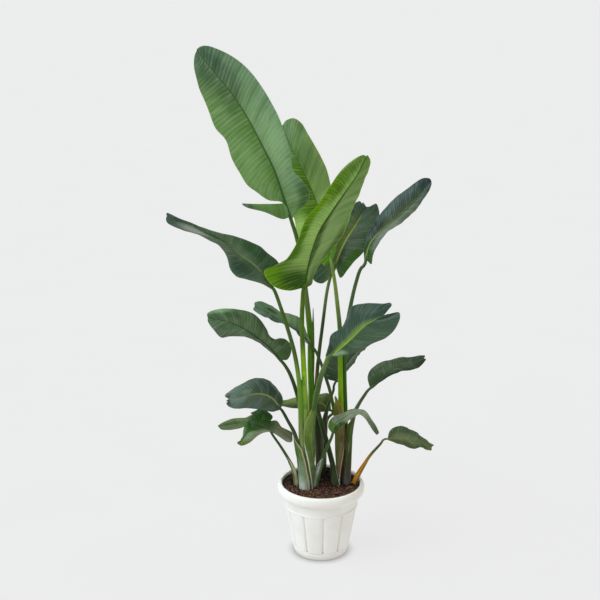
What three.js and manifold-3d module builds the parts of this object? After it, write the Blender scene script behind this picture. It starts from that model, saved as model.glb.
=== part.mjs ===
// Potted bird of paradise in a white fluted pot. Millimetres, +Z up, +X right, the front faces -Y.
// The origin is the middle of the pot's underside.
import * as THREE from 'three';
import Module from 'manifold-3d';

const wasm = await Module();
wasm.setup();

// Driving dimensions of the pot. Panels and grooves are counted in degrees round it from the front.
const POT_HEIGHT = 207;
const RIM_RADIUS = 120;
const FOOT_RADIUS = 73;
const FLOOR_THICKNESS = 5;
const PANELS = 11;
const PANEL_BOTTOM = 25;
const PANEL_TOP = 141;
const PANEL_BOTTOM_RADIUS = 78.5;
const PANEL_TOP_RADIUS = 99;
const PANEL_CROWN = 1;
const GROOVE_DEPTH = 3.5;
const FIRST_GROOVE = 3;
const DRAIN_HOLES = 6;
const DRAIN_HOLE_RADIUS = 5;
const DRAIN_CIRCLE_RADIUS = 42;
const DRAIN_HOLE_SIDES = 12;

// Driving dimensions of the soil and of the plant
const SOIL_LEVEL = 200;
const SOIL_UNEVENNESS = 1.1;
const SOIL_WALL_GAP = 0.4;
const SOIL_RINGS = [100, 78, 52, 24];
const GAP = 0.3;
const ROOT_SIDES = 16;
const ROOT_STAND_OUT = 3;
const STALK_SIDES = 8;
const STALK_STEPS_PER_POINT = 1.2;
const STALK_END_STRAIGHT = 12;
const BLADE_THICKNESS = 1.2;
const RIB_TIP_HEIGHT = 0.8;
const BLADE_FOOT_HALF_WIDTH = 4.5;
const FOOT_GAP = 0.9;

// Joins, cuts and closed forms

// A closed form from its corners and triangles, turned so that every face points outwards.
function closedGeometry(corners, triangles) {
  const volume = triangles.reduce((sum, [a, b, c]) => {
    const cross = new THREE.Vector3().crossVectors(corners[b], corners[c]);
    return sum + corners[a].dot(cross) / 6;
  }, 0);
  const outward = volume > 0 ? triangles : triangles.map(([a, b, c]) => [a, c, b]);
  const geometry = new THREE.BufferGeometry().setFromPoints(corners);
  geometry.setIndex(outward.flat());
  return geometry;
}

// Skins a row of closed rings, each with the same number of corners, and closes both ends.
function loft(rings) {
  const sides = rings[0].length;
  const corners = rings.flat();
  const triangles = [];
  for (let ring = 0; ring < rings.length - 1; ring += 1) {
    for (let side = 0; side < sides; side += 1) {
      const here = ring * sides + side;
      const next = ring * sides + ((side + 1) % sides);
      triangles.push([here, next, next + sides], [here, next + sides, here + sides]);
    }
  }
  const middle = (ring) => ring.reduce((sum, p) => sum.add(p), new THREE.Vector3()).divideScalar(sides);
  const last = (rings.length - 1) * sides;
  const start = corners.push(middle(rings[0])) - 1;
  const end = corners.push(middle(rings.at(-1))) - 1;
  for (let side = 0; side < sides; side += 1) {
    const next = (side + 1) % sides;
    triangles.push([start, next, side], [end, last + side, last + next]);
  }
  return closedGeometry(corners, triangles);
}

// Closes a front and a back grid of corners with a wall all round, split alike on both faces.
function closedSheet(front, back) {
  const rows = front.length;
  const columns = front[0].length;
  const corners = [...front.flat(), ...back.flat()];
  const under = rows * columns;
  const at = (row, column) => row * columns + column;
  const triangles = [];
  const face = (a, b, c) => triangles.push([a, b, c], [a + under, c + under, b + under]);
  for (let row = 0; row < rows - 1; row += 1) {
    for (let column = 0; column < columns - 1; column += 1) {
      face(at(row, column), at(row, column + 1), at(row + 1, column + 1));
      face(at(row, column), at(row + 1, column + 1), at(row + 1, column));
    }
  }
  const border = [];
  for (let column = 0; column < columns - 1; column += 1) {
    border.push(at(0, column));
  }
  for (let row = 0; row < rows - 1; row += 1) {
    border.push(at(row, columns - 1));
  }
  for (let column = columns - 1; column > 0; column -= 1) {
    border.push(at(rows - 1, column));
  }
  for (let row = rows - 1; row > 0; row -= 1) {
    border.push(at(row, 0));
  }
  border.forEach((a, index) => {
    const b = border[(index + 1) % border.length];
    triangles.push([b, a, a + under], [b, a + under, b + under]);
  });
  return closedGeometry(corners, triangles);
}

function toSolid(geometry) {
  const vertProperties = new Float32Array(geometry.attributes.position.array);
  const triVerts = new Uint32Array(geometry.index.array);
  return new wasm.Manifold(new wasm.Mesh({ numProp: 3, vertProperties, triVerts }));
}

function toGeometry(solid) {
  const mesh = solid.getMesh();
  const geometry = new THREE.BufferGeometry();
  geometry.setAttribute('position', new THREE.BufferAttribute(new Float32Array(mesh.vertProperties), 3));
  geometry.setIndex(new THREE.BufferAttribute(new Uint32Array(mesh.triVerts), 1));
  return geometry;
}

function join(geometries) {
  return toGeometry(geometries.map(toSolid).reduce((whole, piece) => whole.add(piece)));
}

function cut(geometry, tools) {
  return toGeometry(tools.map(toSolid).reduce((whole, tool) => whole.subtract(tool), toSolid(geometry)));
}

function uprightCylinder(x, y, radius, bottom, top, sides) {
  const ring = (z) => Array.from({ length: sides }, (_, side) => {
    const angle = (side / sides) * 2 * Math.PI;
    return new THREE.Vector3(x + radius * Math.cos(angle), y + radius * Math.sin(angle), z);
  });
  return loft([ring(bottom), ring(top)]);
}

// Pot: one moulding, turned, with eleven upright panels parted by V grooves

// Each panel gives five angles: the groove at its start, the two groove lips and two crown points.
const PANEL_SPAN = 360 / PANELS;
const PANEL_ANGLES = [0, 3, 12, PANEL_SPAN - 12, PANEL_SPAN - 3];

const potAngles = Array.from({ length: PANELS }, (_, panel) => panel)
  .flatMap((panel) => PANEL_ANGLES.map((angle) => ({ inPanel: angle, whole: panel * PANEL_SPAN + angle })));

// How far the panel's face stands out or in at an angle across it, in millimetres.
function fluteRelief(inPanel) {
  if (inPanel === 0) return -GROOVE_DEPTH;
  const across = inPanel / PANEL_SPAN;
  return PANEL_CROWN * 4 * across * (1 - across);
}

function potRing(radius, z, fluted) {
  return potAngles.map(({ inPanel, whole }) => {
    const angle = THREE.MathUtils.degToRad(FIRST_GROOVE + whole);
    const r = radius + (fluted ? fluteRelief(inPanel) : 0);
    return new THREE.Vector3(r * Math.sin(angle), -r * Math.cos(angle), z);
  });
}

// The wall inside the pot, from the floor to the rim: [radius, height].
const innerWall = [[67, FLOOR_THICKNESS], [92.5, 141], [97, 172], [103.5, 184], [107, 199]];

function pot() {
  const outside = [
    [FOOT_RADIUS - 2, 0],
    [FOOT_RADIUS, 2],
    [FOOT_RADIUS + 3.5, PANEL_BOTTOM - 3],
    [PANEL_BOTTOM_RADIUS, PANEL_BOTTOM, 'fluted'],
    [PANEL_TOP_RADIUS, PANEL_TOP, 'fluted'],
    [PANEL_TOP_RADIUS + 2.5, PANEL_TOP + 1],
    [PANEL_TOP_RADIUS + 2.5, PANEL_TOP + 4],
    [PANEL_TOP_RADIUS + 1, PANEL_TOP + 5],
    [PANEL_TOP_RADIUS + 4, 176],
    [RIM_RADIUS - 9, 177],
    [RIM_RADIUS - 3, 181],
    [RIM_RADIUS, 190],
    [RIM_RADIUS - 1, 199],
    [RIM_RADIUS - 5, 205],
    [RIM_RADIUS - 9, POT_HEIGHT],
    [RIM_RADIUS - 12, 205],
  ];
  const rings = [
    ...outside.map(([radius, z, fluted]) => potRing(radius, z, fluted === 'fluted')),
    ...innerWall.toReversed().map(([radius, z]) => potRing(radius, z, false)),
  ];
  const drains = Array.from({ length: DRAIN_HOLES }, (_, hole) => {
    const angle = ((hole + 0.5) / DRAIN_HOLES) * 2 * Math.PI;
    const x = DRAIN_CIRCLE_RADIUS * Math.cos(angle);
    const y = DRAIN_CIRCLE_RADIUS * Math.sin(angle);
    return uprightCylinder(x, y, DRAIN_HOLE_RADIUS, -FLOOR_THICKNESS, 2 * FLOOR_THICKNESS, DRAIN_HOLE_SIDES);
  });
  return cut(loft(rings), drains);
}

// Shoots and lone stalks: where each one stands in the soil, and its buried root stub
const roots = {
  left_shoot: { x: -41, y: -20, radius: 18, depth: 48 },
  back_shoot: { x: 3, y: 76, radius: 14.5, depth: 24 },
  right_shoot: { x: 70, y: 6, radius: 14.5, depth: 48 },
  slate_leaf_stalk: { x: 40, y: 22, radius: 10, depth: 30 },
  drooping_leaf_stalk: { x: -14, y: -14, radius: 7, depth: 30 },
  front_left_leaf_stalk: { x: -67, y: -8, radius: 7, depth: 30 },
  low_right_leaf_stalk: { x: 93, y: 8, radius: 6.5, depth: 16 },
};

function rootStub({ x, y, radius, depth }) {
  return uprightCylinder(x, y, radius, SOIL_LEVEL - depth, SOIL_LEVEL + ROOT_STAND_OUT, ROOT_SIDES);
}

function rootHole({ x, y, radius, depth }) {
  return uprightCylinder(x, y, radius + 2 * GAP, SOIL_LEVEL - depth - GAP, POT_HEIGHT, ROOT_SIDES);
}

// Soil: fills the pot, uneven on top, with a plain hole for every root stub

// Two crossing waves, a few centimetres long, lift or lower a point of the soil's top.
function uneven({ x, y }) {
  const waves = Math.sin(x / 9 + 2) * Math.cos(y / 12) + 0.6 * Math.sin(y / 7 - x / 15);
  return new THREE.Vector3(x, y, SOIL_LEVEL + SOIL_UNEVENNESS * waves);
}

function soil() {
  const side = innerWall.map(([radius, z], index) => {
    const bottomGap = index === 0 ? GAP : 0;
    return potRing(radius - SOIL_WALL_GAP, z + bottomGap, false);
  });
  const top = SOIL_RINGS.map((radius) => potRing(radius, SOIL_LEVEL, false).map(uneven));
  return cut(loft([...side, ...top]), Object.values(roots).map(rootHole));
}

// Leaves. Every point is [x, y, z]. A rib runs from the stalk's end to the tip; left and right are the
// blade's edges as seen from the front, from the blade's foot to the tip; rows are the blade's steps along
// the rib, and crown is how far each half bulges. The stalk's points run from the soil up to the blade,
// and its radii are spread evenly along it. "shows" names the face of the blade seen from the front.
const leaves = [
  {
    name: 'tall_leaf',
    shows: 'under',
    colour: '#5f9655',
    rows: 20,
    crown: 9,
    rib: [[-82, 26, 942], [-100, 12, 1002], [-124, -12, 1080], [-154, -34, 1148],
      [-184, -56, 1212], [-218, -84, 1274], [-258, -116, 1332], [-288, -142, 1374],
      [-300, -154, 1394]],
    left: [[-102, 14, 988], [-140, 8, 998], [-172, 4, 1022], [-194, 0, 1040], [-214, -8, 1076],
      [-232, -20, 1114], [-244, -32, 1156], [-268, -46, 1190], [-288, -68, 1250],
      [-304, -94, 1304], [-312, -126, 1356], [-308, -142, 1384], [-302, -152, 1396]],
    right: [[-58, 32, 966], [-38, 36, 986], [-32, 34, 1008], [-50, 28, 1042], [-78, 20, 1074],
      [-84, 10, 1116], [-94, -2, 1160], [-106, -16, 1202], [-134, -40, 1266], [-168, -72, 1322],
      [-202, -100, 1362], [-244, -130, 1392], [-280, -148, 1406], [-296, -154, 1398]],
    tornStrip: {
      top: [[-96, 16, 988], [-154, -6, 990], [-208, -32, 998]],
      bottom: [[-86, 24, 948], [-102, 20, 944], [-150, -4, 968], [-196, -26, 986],
        [-208, -32, 996]],
    },
    stem: 'left_shoot',
    stalk: [[-39, -16, 193], [-33, -10, 289], [-28, -4, 390], [-27, 2, 460], [-29, 6, 536],
      [-30, 10, 626], [-35, 12, 676], [-40, 14, 725], [-55, 20, 839], [-68, 24, 897]],
    radii: [8, 8, 8.5, 8, 6, 5, 4.5],
  },
  {
    name: 'tall_back_leaf',
    shows: 'upper',
    colour: '#6c8f55',
    rows: 14,
    crown: 8,
    rib: [[24, 50, 822], [16, 66, 854], [0, 100, 916], [-12, 124, 960], [-44, 158, 1024],
      [-74, 184, 1082], [-96, 204, 1134], [-104, 212, 1158]],
    left: [[8, 54, 808], [-4, 64, 820], [-42, 84, 844], [-66, 102, 872], [-72, 124, 910],
      [-82, 150, 952], [-104, 182, 1014], [-120, 206, 1078], [-122, 216, 1122],
      [-114, 216, 1154]],
    right: [[38, 62, 854], [38, 90, 910], [30, 122, 972], [14, 154, 1046], [-8, 172, 1090],
      [-34, 190, 1134], [-56, 206, 1166], [-76, 214, 1176], [-98, 214, 1168]],
    stem: 'right_shoot',
    stalk: [[66, 6, 195], [59, 9, 296], [54, 16, 411], [51, 23, 524], [49, 32, 635],
      [42, 38, 704], [34, 45, 769]],
    radii: [8, 7.5, 6.5, 5.5, 4.5, 4],
  },
  {
    name: 'bright_front_leaf',
    shows: 'under',
    colour: '#649628',
    rows: 16,
    crown: 8,
    rib: [[-48, -92, 790], [-38, -112, 856], [-24, -134, 920], [-4, -156, 982], [20, -176, 1032],
      [48, -200, 1076], [76, -220, 1116], [98, -242, 1158]],
    left: [[-84, -98, 784], [-124, -114, 800], [-148, -130, 848], [-108, -144, 868],
      [-88, -150, 888], [-62, -158, 934], [-44, -166, 986], [-10, -184, 1036], [14, -200, 1078],
      [42, -218, 1122], [76, -236, 1154], [92, -244, 1162]],
    right: [[-28, -86, 798], [-24, -88, 820], [-4, -94, 860], [20, -100, 892], [50, -116, 932],
      [62, -132, 974], [68, -148, 1004], [84, -172, 1048], [98, -196, 1088], [106, -220, 1126],
      [108, -234, 1148], [100, -244, 1162]],
    stem: 'left_shoot',
    stalk: [[-39, -22, 193], [-38, -27, 252], [-39, -36, 345], [-43, -47, 437], [-47, -61, 539],
      [-51, -72, 626], [-53, -81, 701], [-51, -88, 757]],
    radii: [9, 9, 8, 6.5, 6, 5.5, 5],
  },
  {
    name: 'slate_leaf',
    shows: 'upper',
    colour: '#4b6a5c',
    rows: 12,
    crown: 8,
    rib: [[36, 92, 794], [48, 112, 824], [66, 138, 856], [92, 170, 888], [112, 196, 916],
      [124, 212, 932]],
    left: [[24, 100, 764], [2, 108, 742], [-20, 108, 752], [-26, 112, 778], [-10, 116, 816],
      [24, 146, 866], [60, 176, 914], [92, 204, 944], [112, 214, 948]],
    right: [[50, 64, 772], [66, 74, 786], [88, 98, 806], [118, 130, 830], [144, 162, 864],
      [156, 190, 894], [160, 212, 920], [152, 220, 940], [138, 218, 932]],
    stem: 'slate_leaf_stalk',
    stalk: [[42, 22, 193], [28, 21, 242], [16, 20, 291], [4, 20, 350], [-7, 22, 397],
      [-13, 27, 442], [-12, 34, 503], [-7, 43, 560], [3, 58, 641], [16, 78, 736], [27, 88, 776]],
    radii: [7.5, 7, 6, 5, 4.5, 4, 4],
  },
  {
    name: 'upper_right_leaf',
    shows: 'upper',
    colour: '#3e5a50',
    rows: 12,
    crown: 6,
    rib: [[118, 80, 816], [126, 90, 850], [146, 100, 878], [178, 116, 904], [214, 134, 932],
      [252, 156, 964], [280, 172, 990], [298, 184, 1010]],
    left: [[114, 94, 844], [120, 110, 876], [136, 126, 900], [158, 142, 928], [186, 156, 956],
      [234, 176, 992], [276, 186, 1018], [294, 186, 1016]],
    right: [[132, 70, 808], [136, 66, 832], [150, 70, 862], [170, 76, 886], [204, 94, 910],
      [236, 114, 932], [264, 140, 954], [288, 164, 982], [298, 178, 1002]],
    stem: 'right_shoot',
    stalk: [[72, 6, 195], [68, 12, 294], [65, 24, 408], [62, 35, 520], [66, 47, 616],
      [78, 59, 694], [92, 69, 756], [105, 76, 794]],
    radii: [8, 7, 6, 5, 4.5, 4],
  },
  {
    name: 'middle_right_leaf',
    shows: 'upper',
    colour: '#3a5a44',
    rows: 12,
    crown: 8,
    rib: [[22, -102, 612], [44, -116, 634], [72, -134, 666], [102, -150, 704], [128, -162, 726],
      [152, -170, 742]],
    left: [[8, -94, 604], [18, -92, 636], [24, -94, 666], [48, -100, 686], [60, -106, 714],
      [74, -114, 746], [106, -128, 760], [144, -146, 766], [170, -156, 770], [172, -160, 764]],
    right: [[46, -116, 614], [70, -132, 626], [98, -148, 640], [124, -164, 664],
      [158, -176, 684], [182, -186, 714], [192, -184, 740], [190, -176, 752], [174, -176, 750]],
    stem: 'left_shoot',
    stalk: [[-33, -24, 194], [-28, -33, 270], [-24, -44, 349], [-22, -60, 436], [-13, -74, 499],
      [-3, -86, 548], [11, -97, 592]],
    radii: [8, 9, 9, 8, 6.5, 5, 4.5],
  },
  {
    name: 'long_left_leaf',
    shows: 'upper',
    colour: '#3c6444',
    rows: 14,
    crown: 7,
    rib: [[-128, -92, 790], [-152, -112, 834], [-178, -130, 866], [-208, -148, 894],
      [-244, -164, 928], [-284, -182, 954], [-330, -204, 986], [-366, -220, 1006],
      [-378, -226, 1010]],
    left: [[-154, -116, 808], [-192, -138, 826], [-218, -156, 840], [-234, -166, 864],
      [-238, -172, 892], [-254, -178, 922], [-284, -188, 944], [-314, -196, 960],
      [-344, -208, 972], [-366, -218, 984], [-378, -224, 994], [-380, -226, 1004]],
    right: [[-110, -76, 838], [-114, -76, 854], [-136, -86, 878], [-158, -106, 904],
      [-196, -122, 924], [-232, -142, 942], [-264, -164, 956], [-304, -186, 976],
      [-342, -208, 996], [-366, -220, 1012], [-378, -226, 1018]],
    stem: 'left_shoot',
    stalk: [[-44, -22, 193], [-50, -31, 269], [-54, -44, 363], [-56, -57, 455], [-61, -70, 531],
      [-71, -78, 601], [-82, -82, 649], [-102, -89, 719]],
    radii: [7, 8, 7.5, 6, 5.5, 5, 4.5, 4],
  },
  {
    name: 'middle_left_leaf',
    shows: 'upper',
    colour: '#55784a',
    rows: 12,
    crown: 6,
    rib: [[-108, -26, 568], [-134, -28, 600], [-166, -30, 630], [-200, -30, 656],
      [-240, -30, 676], [-276, -28, 684], [-300, -28, 688]],
    left: [[-140, -32, 600], [-174, -38, 628], [-210, -44, 642], [-242, -46, 644],
      [-264, -50, 642], [-284, -44, 660], [-300, -32, 682]],
    right: [[-92, -16, 568], [-84, -12, 580], [-82, -6, 594], [-86, -4, 610], [-100, -2, 622],
      [-114, -4, 624], [-124, -6, 622], [-138, -6, 632], [-148, -6, 656], [-168, -6, 682],
      [-192, -6, 698], [-238, -8, 708], [-276, -12, 708], [-302, -22, 698]],
    stem: 'left_shoot',
    stalk: [[-47, -18, 194], [-49, -20, 338], [-58, -22, 432], [-66, -23, 473], [-85, -25, 531]],
    radii: [6, 6, 5.5, 4.5, 4],
  },
  {
    name: 'small_back_leaf',
    shows: 'upper',
    colour: '#466e5a',
    rows: 8,
    crown: 4,
    rib: [[-32, -8, 610], [-52, -6, 634], [-82, -6, 656], [-116, -4, 676], [-148, 0, 696],
      [-178, 4, 710]],
    left: [[-50, -12, 622], [-68, -14, 644], [-100, -16, 666], [-132, -16, 680],
      [-158, -10, 688], [-174, -2, 696], [-182, 2, 704]],
    right: [[-42, 2, 642], [-58, 14, 674], [-84, 20, 684], [-112, 22, 694], [-142, 16, 712],
      [-164, 12, 722], [-178, 6, 720]],
    stem: 'right_shoot',
    stalk: [[66, 4, 208], [60, 2, 284], [47, 1, 358], [33, 0, 423], [22, -1, 476], [9, -3, 519],
      [-3, -5, 557], [-18, -7, 592]],
    radii: [6, 5, 4.5, 4, 3.5, 3.5],
  },
  {
    name: 'lower_right_leaf',
    shows: 'upper',
    colour: '#3c6440',
    rows: 10,
    crown: 5,
    rib: [[134, 24, 472], [160, 32, 494], [192, 46, 518], [226, 56, 530], [256, 64, 536],
      [280, 68, 540]],
    left: [[126, 40, 498], [136, 58, 514], [158, 74, 524], [186, 84, 530], [216, 88, 538],
      [250, 88, 538], [284, 78, 546]],
    right: [[162, 24, 490], [186, 28, 506], [214, 32, 516], [244, 38, 518], [268, 50, 524],
      [286, 66, 540]],
    stem: 'right_shoot',
    stalk: [[77, 4, 194], [79, 0, 285], [84, 3, 358], [92, 10, 405], [104, 16, 432],
      [118, 21, 453]],
    radii: [6, 6.5, 6, 4.5, 4, 3.5],
  },
  {
    name: 'low_right_leaf',
    shows: 'upper',
    colour: '#41643e',
    rows: 8,
    crown: 5,
    rib: [[182, -8, 336], [210, -2, 336], [238, 2, 328], [266, 8, 316], [290, 14, 308],
      [304, 16, 302]],
    left: [[188, 8, 354], [208, 22, 360], [238, 30, 352], [262, 32, 340], [280, 30, 322],
      [298, 24, 312], [310, 18, 306]],
    right: [[204, -14, 326], [226, -14, 320], [252, -10, 306], [270, -6, 310], [284, 0, 304],
      [302, 10, 294]],
    stem: 'low_right_leaf_stalk',
    stalk: [[92, 8, 195], [102, 5, 225], [117, 2, 255], [138, -1, 289], [163, -6, 322]],
    radii: [5, 4.5, 4, 3, 2.5],
  },
  {
    name: 'drooping_leaf',
    shows: 'upper',
    colour: '#627a60',
    rows: 12,
    crown: 3,
    rib: [[30, -52, 372], [36, -56, 398], [62, -68, 424], [92, -80, 444], [116, -92, 440],
      [132, -102, 418], [148, -108, 394]],
    left: [[22, -46, 390], [30, -42, 412], [60, -50, 432], [90, -64, 446], [116, -78, 446],
      [134, -94, 424], [150, -106, 396]],
    right: [[46, -70, 388], [62, -82, 414], [80, -88, 430], [98, -96, 442], [112, -102, 436],
      [126, -106, 416], [144, -110, 392]],
    stem: 'drooping_leaf_stalk',
    stalk: [[-15, -14, 194], [-12, -17, 227], [-3, -23, 265], [6, -30, 298], [18, -40, 332]],
    radii: [5.5, 6.5, 5, 4, 3.5],
  },
  {
    name: 'lower_left_leaf',
    shows: 'upper',
    colour: '#3c5c50',
    rows: 10,
    crown: 7,
    rib: [[-110, -66, 448], [-132, -82, 484], [-158, -98, 502], [-188, -118, 508],
      [-216, -136, 506], [-240, -150, 508]],
    left: [[-130, -82, 446], [-158, -108, 462], [-198, -136, 478], [-230, -158, 486],
      [-248, -162, 502], [-248, -162, 508]],
    right: [[-104, -50, 470], [-120, -44, 502], [-146, -52, 524], [-172, -66, 534],
      [-204, -90, 532], [-232, -116, 524], [-252, -146, 514]],
    stem: 'left_shoot',
    stalk: [[-50, -22, 193], [-58, -32, 269], [-65, -44, 334], [-73, -52, 372], [-90, -60, 410]],
    radii: [6, 7, 6, 4.5, 4, 3.5],
  },
  {
    name: 'back_left_leaf',
    shows: 'upper',
    colour: '#50733c',
    rows: 12,
    crown: 4,
    rib: [[26, 92, 380], [-2, 92, 402], [-44, 94, 404], [-88, 96, 396], [-124, 96, 394],
      [-156, 96, 382], [-178, 94, 362], [-204, 92, 346], [-236, 92, 338], [-270, 88, 334],
      [-288, 88, 334]],
    left: [[-8, 84, 378], [-44, 82, 388], [-88, 80, 392], [-124, 76, 394], [-150, 72, 390],
      [-170, 70, 370], [-198, 70, 342], [-226, 72, 332], [-254, 76, 326], [-278, 82, 326]],
    right: [[22, 104, 424], [-14, 112, 416], [-58, 118, 406], [-102, 122, 400], [-136, 126, 392],
      [-162, 124, 378], [-182, 120, 356], [-206, 112, 350], [-244, 104, 350], [-274, 94, 342]],
    stem: 'back_shoot',
    stalk: [[1, 80, 190], [7, 83, 263], [13, 87, 322], [20, 89, 357]],
    radii: [5, 4.5, 4, 3.5],
  },
  {
    name: 'front_left_leaf',
    shows: 'upper',
    colour: '#3a6030',
    rows: 12,
    crown: 5,
    rib: [[-144, -72, 406], [-146, -80, 418], [-160, -98, 426], [-180, -130, 422],
      [-200, -164, 412], [-218, -188, 400]],
    left: [[-132, -60, 422], [-144, -56, 436], [-158, -60, 448], [-174, -70, 446],
      [-188, -92, 446], [-180, -92, 442], [-190, -108, 438], [-198, -126, 432],
      [-204, -144, 424], [-206, -162, 414], [-210, -176, 406], [-220, -188, 404]],
    right: [[-122, -60, 412], [-108, -50, 392], [-96, -44, 378], [-80, -38, 368],
      [-78, -40, 358], [-80, -50, 346], [-92, -58, 348], [-104, -66, 358], [-114, -74, 372],
      [-126, -86, 388], [-150, -112, 400], [-172, -142, 400], [-190, -168, 394],
      [-210, -186, 394]],
    stem: 'front_left_leaf_stalk',
    stalk: [[-67, -8, 194], [-73, -16, 244], [-91, -28, 288], [-113, -46, 335],
      [-133, -60, 373]],
    radii: [5, 4.5, 3.5, 3, 2.5],
  },
  {
    name: 'hidden_right_leaf',
    shows: 'upper',
    colour: '#46604c',
    rows: 8,
    crown: 4,
    rib: [[40, 56, 478], [54, 74, 500], [72, 92, 520], [94, 112, 538], [120, 132, 554]],
    left: [[16, 52, 488], [6, 56, 512], [16, 80, 538], [46, 108, 558], [86, 134, 566],
      [126, 140, 560]],
    right: [[66, 68, 498], [90, 86, 522], [110, 108, 542], [128, 130, 556]],
    stem: 'back_shoot',
    stalk: [[-2, 78, 191], [-1, 73, 267], [6, 66, 352], [22, 61, 416], [34, 57, 453]],
    radii: [5, 4.5, 3.5, 3],
  },
];

// New rolled leaf and old sheaths: plain spikes that grow from the foot of a shoot
const spikes = [
  {
    name: 'rolled new leaf',
    stem: 'left_shoot',
    points: [[-27, 6, 480], [-24, 14, 560], [-23, 18, 640], [-23, 20, 701]],
    radii: [5, 4, 1.2],
  },
  {
    name: 'old sheath',
    stem: 'left_shoot',
    points: [[-30, -8, 300], [-22, 0, 400], [-15, 5, 480], [-14, 6, 552]],
    radii: [6, 5, 2.5],
  },
  {
    name: 'brown sheath',
    stem: 'back_shoot',
    points: [[-2, 76, 195], [-8, 78, 290], [-10, 76, 366]],
    radii: [9, 8, 3],
  },
  {
    name: 'second brown sheath',
    stem: 'back_shoot',
    points: [[8, 80, 195], [9, 82, 280], [6, 80, 350]],
    radii: [8, 7, 3],
  },
  {
    name: 'tan sheath',
    stem: 'right_shoot',
    points: [[64, 8, 196], [56, 6, 320], [48, 8, 390], [36, 10, 452]],
    radii: [6, 6, 2],
  },
];

function curveThrough(points) {
  return new THREE.CatmullRomCurve3(points.map((p) => new THREE.Vector3(...p)), false, 'centripetal');
}

// A round rod along a curve, whose radius follows the list from its start to its end.
function rod(curve, radii, steps) {
  const frames = curve.computeFrenetFrames(steps);
  const radiusAt = (t) => {
    const place = t * (radii.length - 1);
    const from = Math.min(Math.floor(place), radii.length - 2);
    return THREE.MathUtils.lerp(radii[from], radii[from + 1], place - from);
  };
  const rings = Array.from({ length: steps + 1 }, (_, step) => {
    const centre = curve.getPointAt(step / steps);
    const radius = radiusAt(step / steps);
    return Array.from({ length: STALK_SIDES }, (__, side) => {
      const angle = (side / STALK_SIDES) * 2 * Math.PI;
      return centre.clone()
        .addScaledVector(frames.normals[step], radius * Math.cos(angle))
        .addScaledVector(frames.binormals[step], radius * Math.sin(angle));
    });
  });
  return loft(rings);
}

// The way the blade leaves its stalk, at the first point of the rib.
function footDirection(leaf) {
  const [foot, next] = leaf.rib.slice(0, 2).map((p) => new THREE.Vector3(...p));
  return { foot, direction: next.sub(foot).normalize() };
}

// The stalk ends in line with the rib, a small gap before the blade's foot.
function stalkRod(leaf) {
  const { foot, direction } = footDirection(leaf);
  const straight = foot.clone().addScaledVector(direction, -STALK_END_STRAIGHT);
  const end = foot.clone().addScaledVector(direction, -FOOT_GAP);
  const points = [...leaf.stalk, straight.toArray(), end.toArray()];
  return rod(curveThrough(points), leaf.radii, Math.round(leaf.stalk.length * STALK_STEPS_PER_POINT) + 2);
}

// Where the blade's columns lie between the rib (0) and the edge (1), beside the rib's own width, how far
// the rows run ahead at the edge, as the veins do, and the least and the most that the rib takes of a half.
const COLUMNS = [0.36, 0.68, 1];
const VEIN_LEAD = 0.22;
const RIB_SHARE = { least: 0.04, most: 0.3 };

// One row of the blade from its left edge over the rib to its right edge, with the facing of each point.
function bladeRow(leaf, curves, t) {
  const ahead = t + VEIN_LEAD * t * (1 - t);
  const rib = curves.rib.getPointAt(t);
  const along = curves.rib.getTangentAt(t);
  const ribHalfWidth = THREE.MathUtils.lerp(leaf.radii.at(-1), RIB_TIP_HEIGHT, t);
  const half = (edge, side) => {
    const across = edge.clone().sub(rib);
    const facing = new THREE.Vector3().crossVectors(across, along).multiplyScalar(side).normalize();
    const upper = leaf.shows === 'upper' ? 1 : -1;
    const ribShare = THREE.MathUtils.clamp(ribHalfWidth / across.length(), RIB_SHARE.least, RIB_SHARE.most);
    return [ribShare, ...COLUMNS].map((share) => {
      const crown = upper * leaf.crown * Math.sin(Math.PI * share) * Math.sqrt(Math.sin(Math.PI * t));
      return rib.clone().addScaledVector(across, share).addScaledVector(facing, crown);
    });
  };
  const left = half(curves.left.getPointAt(ahead), -1);
  const right = half(curves.right.getPointAt(ahead), 1);
  return [...left.toReversed(), rib, ...right];
}

// The way each corner of a grid faces. The foot row shares one facing, so that it ends in a flat face.
function facings(grid) {
  const rows = grid.length - 1;
  const columns = grid[0].length - 1;
  return grid.map((line, row) => line.map((_, place) => {
    const column = row === 0 ? columns / 2 : place;
    const up = grid[Math.min(row + 1, rows)][column].clone().sub(grid[Math.max(row - 1, 0)][column]);
    const across = line[Math.min(column + 1, columns)].clone().sub(line[Math.max(column - 1, 0)]);
    return across.cross(up).normalize();
  }));
}

// A thin sheet of even thickness, with an extra height for each column on its front or back.
function sheet(grid, extra) {
  const directions = facings(grid);
  const offset = (sign) => grid.map((line, row) => line.map((point, column) => {
    const height = BLADE_THICKNESS / 2 + Math.max(0, sign * extra(row / (grid.length - 1), column));
    return point.clone().addScaledVector(directions[row][column], sign * height);
  }));
  return closedSheet(offset(1), offset(-1));
}

function bladeCurves(leaf) {
  const { foot, direction } = footDirection(leaf);
  const rib = curveThrough(leaf.rib);
  const firstAcross = new THREE.Vector3(...leaf.right[0]).sub(new THREE.Vector3(...leaf.left[0]));
  firstAcross.addScaledVector(direction, -firstAcross.dot(direction)).normalize();
  const corner = (side) => foot.clone().addScaledVector(firstAcross, side * BLADE_FOOT_HALF_WIDTH).toArray();
  return {
    rib,
    left: curveThrough([corner(-1), ...leaf.left]),
    right: curveThrough([corner(1), ...leaf.right]),
  };
}

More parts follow.
